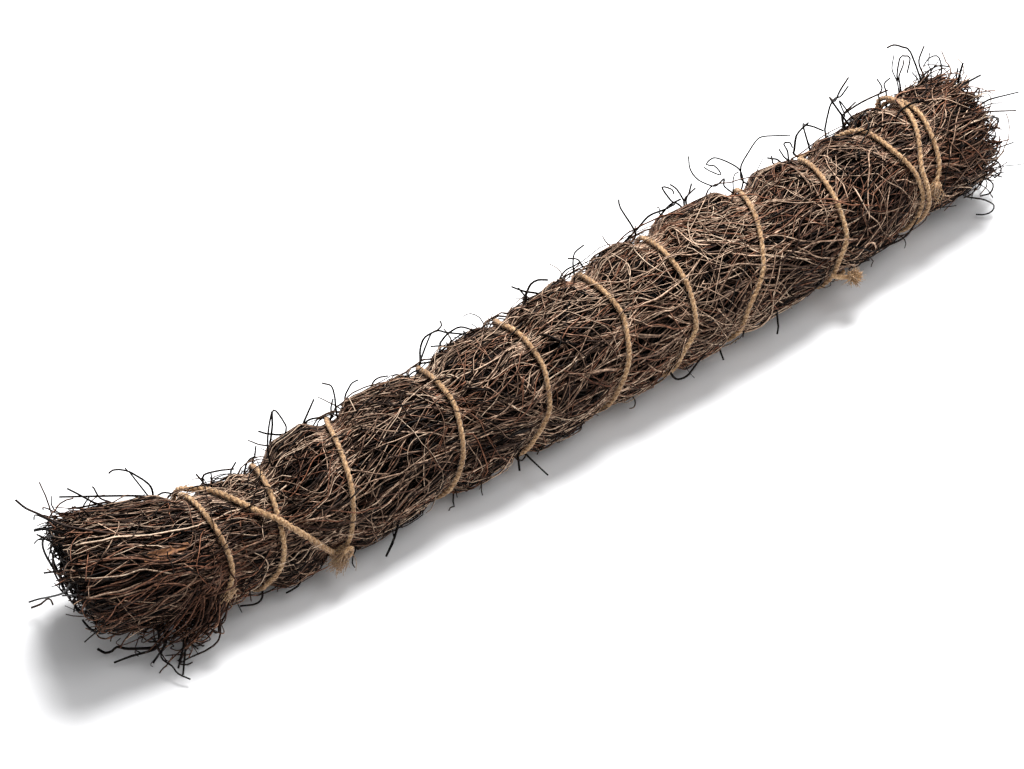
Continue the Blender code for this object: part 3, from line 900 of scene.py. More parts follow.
@dataclass
class OuterTwigs:
    """The twigs that show: locks of parallel ones, with others that weave across them."""

    count: int = 6200
    seed: int = 21
    step: float = 2.5
    pieces: int = 6
    radii: tuple = (0.27, 0.48)
    taper: float = 0.4
    kinds: tuple = (
        Kind(0.56, 0.0, 8.0, (60, 170), ((150, 5.0), (60, 6.0), (27, 6.0), (15, 5.0)), 0.010, (-6.6, 0.2)),
        Kind(0.28, 22.0, 9.0, (35, 100), ((90, 9.0), (38, 8.0), (20, 8.0), (12, 6.0)), 0.018, (-3.4, 0.9)),
        Kind(0.16, 44.0, 18.0, (18, 64), ((60, 14.0), (30, 12.0), (14, 8.0)), 0.026, (-2.2, 1.2), 1.8),
    )
    lock_share: float = 0.5
    lock_size: int = 6
    lock_gap: float = 1.5
    flows: tuple = ((1, 130.0, 7.0), (2, 83.0, 8.0), (3, 47.0, 7.0), (5, 29.0, 4.0))
    slope_places: tuple = ((-245, -80, 20, 240), (0.65, 0.8, 1.2, 1.1))
    own_waves: tuple = ((70, 1.6), (31, 1.8))
    height_waves: tuple = ((75, 0.8), (33, 0.6), (17, 0.3))
    kink_size: float = 26.0
    mean_radius: float = 26.0
    root_dip: float = 2.5
    root_length: float = 9.0
    tip_length: float = 13.0
    raised_share: float = 0.28
    raised_tips: tuple = (0.5, 4.6)
    lowered_tip: float = -1.5
    most_loose: float = 2.4
    thick_share: float = 0.06
    thick_radii: tuple = (0.52, 0.75)
    thin_share: float = 0.12
    thin_radii: tuple = (0.22, 0.3)
    crossing_shares: tuple = (0.015, 0.09)
    crossing_depth: float = -2.5
    twine_gap: float = 0.15
    free_rise: float = 5.5
    free_fall: float = 4.0
    drawn_in: float = 0.9
    # Extra depth counted under the twine, which paints shade on the twigs beneath it.
    painted_twine_shade: float = 2.4
    near_front: float = 48.0
    near_bulge: float = 8.0
    slacks: tuple = (0.42, 0.19)
    shallow: float = -3.0
    least_points: int = 5

    def flow(self, x: np.ndarray, angle: np.ndarray) -> np.ndarray:
        """Give the lean that all the twigs at a place share.

        Args:
            x: places along the bundle.
            angle: angles around the axis.

        Returns:
            The lean, in degrees.
        """
        lean = np.zeros(np.broadcast(x, angle).shape)
        for order, (turns, length, size) in enumerate(self.flows):
            wave = turns * np.radians(angle) + 2 * math.pi * x / length + 1.7 * order
            lean = lean + size * np.sin(wave)
        return lean

    @staticmethod
    def looseness(x: np.ndarray, angle: np.ndarray) -> np.ndarray:
        """Tell how loosely the twigs lie: most along the upper and the lower edge.

        Args:
            x: places along the bundle.
            angle: angles around the axis.

        Returns:
            By how many millimetres a loose twig stands off, on average.
        """
        above = np.interp(x, (-225, -170, -130, -95, -60, -20, 0, 60, 160, 200),
                          (2.8, 1.6, 2.2, 2.0, 0.6, 0.4, 0.9, 2.8, 2.8, 1.6))
        below = np.interp(x, (-200, -160, -120, -90, -45, 0, 40, 70),
                          (0.4, 2.1, 2.0, 2.0, 2.8, 1.6, 0.6, 0.0))
        return above * bell(turn_from(angle, 140), 38) + below * bell(turn_from(angle, -45), 28)

    def draw_group(self, rng: np.random.Generator, kind: Kind, count: int) -> dict:
        """Draw the twigs of one kind as unrolled paths.

        Args:
            rng: the source of random numbers.
            kind: how they lie.
            count: how many there are.

        Returns:
            Their x, angle, height over the form, and length.
        """
        lock = np.arange(count)
        in_locks = rng.random(count) < self.lock_share
        lock = np.where(in_locks, lock - lock % self.lock_size, lock)
        steps = int(kind.lengths[1] / self.step) + 1
        along = np.arange(steps)[None] * self.step * np.ones((count, 1))
        sway = Wander(rng, count, kind.waves)
        own = Wander(rng, count, self.own_waves)
        sign = np.where(rng.random(count) < 0.5, -1.0, 1.0)
        slope = sign * (kind.slope + rng.normal(0, kind.slope_spread, count))
        bend = rng.normal(0, 1.0, count) * kind.arc
        jolts = rng.normal(0, self.kink_size, (count, steps))
        jolts *= rng.random((count, steps)) < kind.kinks * self.step
        drift = np.cumsum(jolts, axis=1)
        low, high = FORM.rims[0] - 2, FORM.rims[1] + 2
        lengths = rng.uniform(*kind.lengths, count)
        start = rng.uniform(low - 10, high + 10, count)[lock] + rng.normal(0, 9.0, count)
        slope = slope * np.interp(start, *self.slope_places)
        heading = (slope[:, None] + sway.at(along) + drift + bend[:, None] * along)[lock]
        heading = heading + own.at(along) + rng.normal(0, 2.0, count)[:, None]
        direction = np.where(rng.random(count) < 0.5, -1.0, 1.0)[lock]
        start = start - direction * lengths * 0.5
        member = (np.arange(count) - lock) - self.lock_size / 2
        around = math.pi * 2 * self.mean_radius / TURN
        spot = start
        angle = rng.uniform(0, TURN, count)[lock]
        angle = angle + member * self.lock_gap / around * rng.uniform(0.8, 1.2, count)
        x, turned = np.empty((count, steps)), np.empty((count, steps))
        for index in range(steps):
            x[:, index], turned[:, index] = spot, angle
            way = np.radians(heading[:, index] + direction * self.flow(spot, angle))
            spot = spot + direction * np.cos(way) * self.step
            angle = angle + np.sin(way) * self.step / around
        base = rng.uniform(*kind.depths, count)
        height = base[:, None] + Wander(rng, count, self.height_waves).at(along)
        dips = self.root_dip * (rng.random(count) < 0.6)[:, None]
        height -= dips * np.clip(1 - along / self.root_length, 0, 1) ** 2
        left = lengths[:, None] - along
        loose = rng.exponential(1.0, count).clip(0, self.most_loose)
        height += self.looseness(x, turned) * loose[:, None]
        raised = rng.random(count) < self.raised_share
        lift = np.where(raised, rng.uniform(*self.raised_tips, count), self.lowered_tip)
        height += lift[:, None] * np.clip(1 - left / self.tip_length, 0, 1) ** 2
        return {"x": x, "angle": turned, "height": height, "length": lengths, "base": base}

    def settle(self, x: np.ndarray, angle: np.ndarray, height: np.ndarray, radius: np.ndarray,
               crossing: np.ndarray) -> tuple:
        """Lay paths on the form, drawn in under the twine and flat below.

        Args:
            x: places along the bundle.
            angle: angles around the axis.
            height: heights over the form.
            radius: the twigs' radii.
            crossing: which twigs cross over the twine.

        Returns:
            The points, and how deep each lies under its neighbours and the twine, which sets its painted
            shade.
        """
        hold = WINDING.hold(x, angle)
        cap = -WINDING.depth - radius - self.twine_gap + (1 - hold) * self.free_rise
        under = np.minimum(height - self.drawn_in * hold, cap)
        above = np.maximum(height, (WINDING.over + radius) * hold - self.free_fall * (1 - hold))
        height = np.where(crossing[:, None], above, under)
        height = np.minimum(height, BarkFlake.cap(x, angle, radius))
        points = FORM.place(x, angle, FORM.radius(x) + height)
        lowest = radius + FORM.floor_gap + hold * (WINDING.clearance_below - 0.2) + FORM.rise(x)
        points[..., 2] = np.maximum(points[..., 2], lowest)
        return points, -height - self.painted_twine_shade * hold

    def strands(self) -> list:
        """Lay every outer twig."""
        rng = np.random.default_rng(self.seed)
        tones = Tones(rng)
        made = []
        for kind in self.kinds:
            count = int(self.count * kind.share)
            group = self.draw_group(rng, kind, count)
            thick = rng.uniform(*self.radii, count)
            for part, radii in ((self.thick_share, self.thick_radii), (self.thin_share, self.thin_radii)):
                thick = np.where(rng.random(count) < part, rng.uniform(*radii, count), thick)
            share = np.arange(group["x"].shape[1])[None] * self.step / group["length"][:, None]
            radii = thick[:, None] * (1 - self.taper * np.clip(share, 0, 1))
            middle = group["angle"].mean(axis=1)
            upper = np.cos(np.radians(middle - 135)) > 0.75
            chance = np.where(upper, self.crossing_shares[1], self.crossing_shares[0])
            crossing = (rng.random(count) < chance) & (group["base"] > self.crossing_depth)
            points, depths = self.settle(group["x"], group["angle"], group["height"], radii, crossing)
            front = bell(turn_from(middle, self.near_front), 46)
            lows = FORM.rims[0] + rng.uniform(-3, 9, count) - self.near_bulge * front
            highs = FORM.rims[1] + rng.uniform(-9, 3, count)
            for index in range(count):
                x = points[index, :, 0]
                good = (share[index] <= 1) & (x > lows[index]) & (x < highs[index])
                kept = np.flatnonzero(good)
                if len(kept):
                    kept = kept[: np.argmax(np.append(np.diff(kept) > 1, True)) + 1]
                if len(kept) < self.least_points:
                    continue
                path = points[index, kept]
                chosen = thinned(path, self.slacks[int(group["base"][index] > self.shallow)])
                tone, ruddy = tones.draw(float(path[:, 0].mean()))
                # Painted shade by depth under the other twigs and under the twine.
                tone = Tones.with_painted_shade(tone, depths[index, kept][chosen])
                made.append(Strand(path[chosen], radii[index, kept][chosen], tone, ruddy))
        return made

    def build(self, bark: bpy.types.Material) -> list:
        """Make and dress the pieces, from the near end to the far one.

        Args:
            bark: their material.

        Returns:
            The pieces.
        """
        strands = sorted(self.strands(), key=lambda strand: float(strand.points[:, 0].mean()))
        bounds = np.linspace(0, len(strands), self.pieces + 1).astype(int)
        items = []
        for index in range(self.pieces):
            part = strands[bounds[index]:bounds[index + 1]]
            item = StrandMesh(f"outer_twigs_{index + 1}", 3).build(part)
            item.data.materials.append(bark)
            items.append(item)
        return items


class Growth:
    """Grows many free twigs at once, each curling in a plane that slowly turns."""

    step: float = 1.0

    def __init__(self, points: np.ndarray, ways: np.ndarray, towards: np.ndarray) -> None:
        """Start the twigs.

        Args:
            points: where they start.
            ways: the directions in which they start.
            towards: the directions to which they curl.
        """
        self.point = points.copy()
        self.way = unit(ways)
        self.normal = unit(towards - self.way * (towards * self.way).sum(1, keepdims=True))

    def run(self, curls: np.ndarray, shakes: np.ndarray) -> np.ndarray:
        """Grow the twigs.

        Args:
            curls: how far each turns to its own side at each step, in radians.
            shakes: how far each turns out of its plane at each step, in radians.

        Returns:
            The paths, as (twig, step, coordinate), without the starting points.
        """
        paths = np.empty((*curls.shape, 3))
        for index in range(curls.shape[1]):
            curl, shake = curls[:, index, None], shakes[:, index, None]
            way = self.way * np.cos(curl) + self.normal * np.sin(curl)
            self.normal = self.normal * np.cos(curl) - self.way * np.sin(curl)
            self.way = unit(way)
            side = np.cross(self.way, self.normal)
            self.way = unit(self.way * np.cos(shake) + side * np.sin(shake))
            self.point = self.point + self.way * self.step
            paths[:, index] = self.point
        return paths


@dataclass(frozen=True)
class TipStyle:
    """One way in which twigs end: how far they curl, lean and reach past the rim."""

    share: float
    bends: tuple
    turns: tuple
    lean: float
    reach: tuple
    tail: tuple
    flare: float


NEAR_STYLES = (
    TipStyle(0.50, (2.6, 7.5), (90.0, 270.0), 50.0, (-13.0, 0.0), (0.0, 6.0), 0.0),
    TipStyle(0.14, (60.0, 200.0), (2.0, 8.0), 60.0, (-12.0, -6.0), (2.0, 9.0), 2.0),
    TipStyle(0.36, (8.0, 20.0), (40.0, 140.0), 55.0, (-15.0, -5.0), (0.0, 4.0), 1.0),
)
FAR_STYLES = (
    TipStyle(0.30, (60.0, 200.0), (2.0, 8.0), 60.0, (-12.0, -2.0), (2.0, 9.0), 2.0),
    TipStyle(0.42, (2.2, 7.0), (90.0, 290.0), 110.0, (-14.0, -1.0), (0.0, 6.0), 2.0),
    TipStyle(0.28, (8.0, 24.0), (25.0, 110.0), 80.0, (-15.0, -3.0), (0.0, 5.0), 3.0),
)


@dataclass
class EndTwigs(TwigPiece):
    """The twigs that curl over, loop back and fan out at one end."""

    side: Side
    count: int
    seed: int
    styles: tuple
    centre: float
    spread: float
    longest: int = 46
    held: int = 11
    deepest: float = 11.0
    least_reach: float = 1.5
    more_reach: float = 3.0
    near_bulge: float = 8.5
    swing_waves: tuple = ((34, 1.3), (15, 0.8))
    shake_waves: tuple = ((22, 0.03), (9, 0.05))
    kink_size: float = 0.5
    kink_share: float = 0.04
    radii: tuple = (0.30, 0.52)
    taper: float = 0.3
    slack: float = 0.15

    @property
    def name(self) -> str:
        """Give the piece's name."""
        return f"{self.side.name.lower()}_end_twigs"

    def rim_at(self, angle: np.ndarray) -> np.ndarray:
        """Give where the bundle ends along X at some angles around it."""
        if self.side is Side.FAR:
            return np.full(np.shape(angle), FORM.rims[1])
        return FORM.rims[0] - self.near_bulge * bell(turn_from(angle, OuterTwigs.near_front), 46)

    def strands(self) -> list:
        """Run each twig along the bundle and let it end in its own style."""
        rng = np.random.default_rng(self.seed)
        tones = Tones(rng)
        sign = self.side.value
        made = []
        for style in self.styles:
            count = int(self.count * style.share)
            angle = rng.uniform(0, TURN, count)
            massed = rng.random(count) < 0.5
            angle = np.where(massed, rng.normal(self.centre, self.spread, count), angle)
            rims = self.rim_at(angle)
            release = rims + sign * rng.uniform(*style.reach, count)
            back = rng.uniform(20, 60, count)
            run = np.linspace(0, 1, self.held)
            x = release[:, None] - sign * back[:, None] * (1 - run)
            deep = rng.beta(1.1, 1.9, count) * self.deepest
            height = -deep[:, None] + 0.5 - 3.0 * (1 - run) * (deep < 3)[:, None]
            loose = OuterTwigs.looseness(release, angle) * rng.exponential(0.8, count).clip(0, 2.0)
            height = height + loose[:, None] * run
            swing = angle[:, None] + rng.normal(0, 9.0, count)[:, None] * (1 - run)
            swing = swing + Wander(rng, count, self.swing_waves).at(run * back[:, None])
            held = FORM.place(x, swing, FORM.radius(x) + height)
            hold = WINDING.hold(x, swing)
            held = held - FORM.outward(held) * (hold * np.clip(3.2 + height, 0, None))[..., None]
            away = FORM.outward(held[:, -1])
            way = unit(held[:, -1] - held[:, -2])
            way = way + away * np.tan(np.radians(rng.normal(style.flare, 7.0, count)))[:, None]
            lean = np.radians(rng.normal(180, style.lean, count))[:, None]
            towards = away * np.cos(lean) + np.cross(way, away) * np.sin(lean)
            bend = 1 / rng.uniform(*style.bends, count)
            total = np.radians(rng.uniform(*style.turns, count))
            begin = rng.uniform(0, 5, count)
            along = np.arange(self.longest)[None] * Growth.step
            curling = (along >= begin[:, None]) & (along < (begin + total / bend)[:, None])
            kink = rng.normal(0, self.kink_size, (count, self.longest))
            kink *= rng.random((count, self.longest)) < self.kink_share
            curls = np.where(curling, bend[:, None], rng.normal(0, 0.03, count)[:, None]) * Growth.step
            shakes = Wander(rng, count, self.shake_waves).at(along * np.ones((count, 1)))
            free = Growth(held[:, -1], way, towards).run(curls + kink, shakes)
            length = np.minimum(begin + total / bend + rng.uniform(*style.tail, count), self.longest)
            for index in range(count):
                last = max(3, int(length[index]))
                limit = self.least_reach + rng.exponential(self.more_reach)
                rim = rims[index]
                beyond = np.flatnonzero(sign * (free[index, :, 0] - rim) > limit)
                if len(beyond):
                    last = max(1, min(last, int(beyond[0])))
                drawn = np.vstack((held[index], free[index, :last]))
                thick = rng.uniform(*self.radii) * (1 - self.taper * np.linspace(0, 1, len(drawn)))
                drawn[:, 2] = np.maximum(drawn[:, 2], thick + FORM.floor_gap)
                depth = FORM.radius(drawn[:, 0]) - np.linalg.norm(FORM.spread(drawn), axis=1)
                inside = np.clip(sign * (rim - drawn[:, 0]) / 10, 0.0, 1.0)
                chosen = thinned(drawn, self.slack)
                tone, ruddy = tones.draw(rim)
                # Painted shade by depth, weak past the rim and stronger up to 10 mm inside it.
                tone = Tones.with_painted_shade(tone, (depth * (0.12 + 0.38 * inside))[chosen])
                made.append(Strand(drawn[chosen], thick[chosen], tone, ruddy))
        return made


@dataclass
class RimHoops(TwigPiece):
    """The twigs bent round the open mouth of the near end."""

    count: int = 90
    seed: int = 61
    middle: float = 235.0
    spread: float = 55.0
    points: int = 22
    reach: tuple = (40, 120)
    radii: tuple = (0.34, 0.62)
    insets: tuple = (0.6, 7.0)
    tones: tuple = (0.2, 0.7)
    ruddy: tuple = (0.0, 0.6)
    name: str = "rim_hoops"

    def strands(self) -> list:
        """Lay each hoop inside the rim."""
        rng = np.random.default_rng(self.seed)
        made = []
        for _ in range(self.count):
            start = rng.normal(self.middle, self.spread)
            reach = rng.uniform(*self.reach) * rng.choice((-1, 1))
            run = np.linspace(-1, 1, self.points)
            angle = start + reach * run / 2
            place = FORM.rims[0] + rng.uniform(-4, 14)
            x = place + 4.0 * np.sin(1.5 * (run + 1) + rng.uniform(0, 6))
            inset = rng.uniform(*self.insets) + 3.5 * run ** 2
            path = FORM.place(x, angle, FORM.radius(x) - inset)
            thick = rng.uniform(*self.radii) * np.ones(self.points)
            path[:, 2] = np.maximum(path[:, 2], thick + 0.3 + FORM.rise(x))
            # Painted shade by how deep the hoop lies inside the rim.
            tone = Tones.with_painted_shade(rng.uniform(*self.tones), inset * 0.5)
            made.append(Strand(path, thick, tone, rng.uniform(*self.ruddy)))
        return made


@dataclass
class SplayedTuft(TwigPiece):
    """The reddish twigs of the near end that splay down to the table."""

    count: int = 115
    seed: int = 83
    foot_x: tuple = (-192.0, -180.0)
    foot_angles: tuple = (-14.0, 34.0)
    tips: tuple = (
        (-226.0, -8.0, 11.0), (-218.0, -15.0, 6.0), (-211.0, -23.0, 4.0), (-204.0, -21.0, 6.0),
    )
    tip_spread: tuple = (4.0, 2.5, 3.0)
    shortest: float = 0.45
    longest: float = 1.08
    radii: tuple = (0.32, 0.58)
    taper: float = 0.35
    tones: tuple = (0.3, 0.86)
    ruddy: tuple = (0.3, 0.85)
    step: float = 1.2
    slack: float = 0.1
    name: str = "splayed_tuft"

    def strands(self) -> list:
        """Fan each twig out from under the first turn of the twine."""
        rng = np.random.default_rng(self.seed)
        made = []
        tips = np.array(self.tips)
        for _ in range(self.count):
            share = rng.random()
            x = rng.uniform(*self.foot_x)
            low, high = self.foot_angles
            angle = high + (low - high) * share + rng.normal(0, 6)
            deep = FORM.radius(x) - 2.6
            held = [FORM.place(x + 14 - 7 * k, angle, deep + 0.5 * k) for k in range(3)]
            spot = [np.interp(share * 3, range(4), tips[:, axis]) for axis in range(3)]
            tip = np.array(spot) + rng.normal(0, self.tip_spread)
            reach = rng.uniform(self.shortest, self.longest)
            tip = held[-1] + (tip - held[-1]) * reach * 0.93
            middle = held[-1] + (tip - held[-1]) * 0.5
            middle = middle + FORM.outward(middle) * rng.uniform(0.5, 4.0) + rng.normal(0, 2.8, 3)
            hook = tip + rng.normal(0, 3.4, 3) + (-1.0, 0.0, 0.5)
            knots = [*held, middle, tip, hook, hook + rng.normal(0, 2.6, 3)]
            path = smooth_through(knots, self.step)
            thick = rng.uniform(*self.radii) * (1 - self.taper * np.linspace(0, 1, len(path)))
            path[:, 2] = np.maximum(path[:, 2], thick + FORM.floor_gap)
            chosen = thinned(path, self.slack)
            tone, ruddy = rng.uniform(*self.tones), rng.uniform(*self.ruddy)
            made.append(Strand(path[chosen], thick[chosen], tone, ruddy))
        return made


@dataclass
class Frizz(TwigPiece):
    """The short tips, hooks and loops that stand out all over the bundle."""

    count: int = 1000
    seed: int = 19
    longest: int = 24
    shortest: float = 4.5
    upper_edge: tuple = (0.45, 140, 22)
    lower_edge: tuple = (0.16, -42, 14)
    bare_underside: float = 34.0
    shake_waves: tuple = ((15, 0.05), (7, 0.07))
    kink_size: float = 0.6
    kink_share: float = 0.06
    radii: tuple = (0.26, 0.5)
    taper: float = 0.4
    tone_share: float = 0.75
    slack: float = 0.1
    name: str = "frizz"

    def strands(self) -> list:
        """Grow each tip out of the surface."""
        rng = np.random.default_rng(self.seed)
        tones = Tones(rng)
        count = self.count
        x = rng.uniform(FORM.rims[0] + 4, FORM.rims[1] - 2, count)
        share, middle, spread = self.upper_edge
        upper = rng.random(count) < share
        angle = np.where(upper, rng.normal(middle, spread, count), rng.uniform(0, TURN, count))
        share, middle, spread = self.lower_edge
        angle = np.where(rng.random(count) < share, rng.normal(middle, spread, count), angle)
        hold = WINDING.hold(x, angle)
        below = np.abs(turn_from(angle, 270)) < self.bare_underside
        sign = rng.choice((-1.0, 1.0), count)
        heading = np.radians(rng.normal(0, 34, count))
        root = FORM.place(x, angle, FORM.radius(x) - 2.2)
        away = FORM.outward(root)
        along = np.tile((1.0, 0.0, 0.0), (count, 1)) * sign[:, None]
        way = along * np.cos(heading)[:, None] + np.cross(along, away) * np.sin(heading)[:, None]
        way = way + away * np.tan(np.radians(rng.uniform(8, 42, count)))[:, None]
        lean = rng.normal(0, 50, count) + np.where(rng.random(count) < 0.55, 180, 0)
        lean = np.radians(lean)[:, None]
        towards = away * np.cos(lean) + np.cross(way, away) * np.sin(lean)
        length = np.minimum(self.shortest + rng.exponential(4.2, count), self.longest)
        bend = rng.normal(0, 1, count) * 0.10
        steps = np.arange(self.longest)[None] * np.ones((count, 1))
        curls = np.abs(bend)[:, None] * np.ones((1, self.longest))
        kinks = rng.normal(0, self.kink_size, curls.shape)
        curls = curls + kinks * (rng.random(curls.shape) < self.kink_share)
        shakes = Wander(rng, count, self.shake_waves).at(steps)
        free = Growth(root, way, towards).run(curls, shakes)
        made = []
        for index in np.flatnonzero((hold < 0.75) & ~below):
            last = int(length[index])
            drawn = np.vstack((root[index], free[index, :last]))
            thick = rng.uniform(*self.radii) * (1 - self.taper * np.linspace(0, 1, len(drawn)))
            drawn[:, 2] = np.maximum(drawn[:, 2], thick + FORM.floor_gap)
            depth = FORM.radius(drawn[:, 0]) - np.linalg.norm(FORM.spread(drawn), axis=1)
            tone, ruddy = tones.draw(float(x[index]))
            chosen = thinned(drawn, self.slack)
            # Painted shade by depth under the surface.
            tone = Tones.with_painted_shade(self.tone_share * tone, depth[chosen])
            made.append(Strand(drawn[chosen], thick[chosen], tone, ruddy))
        return made


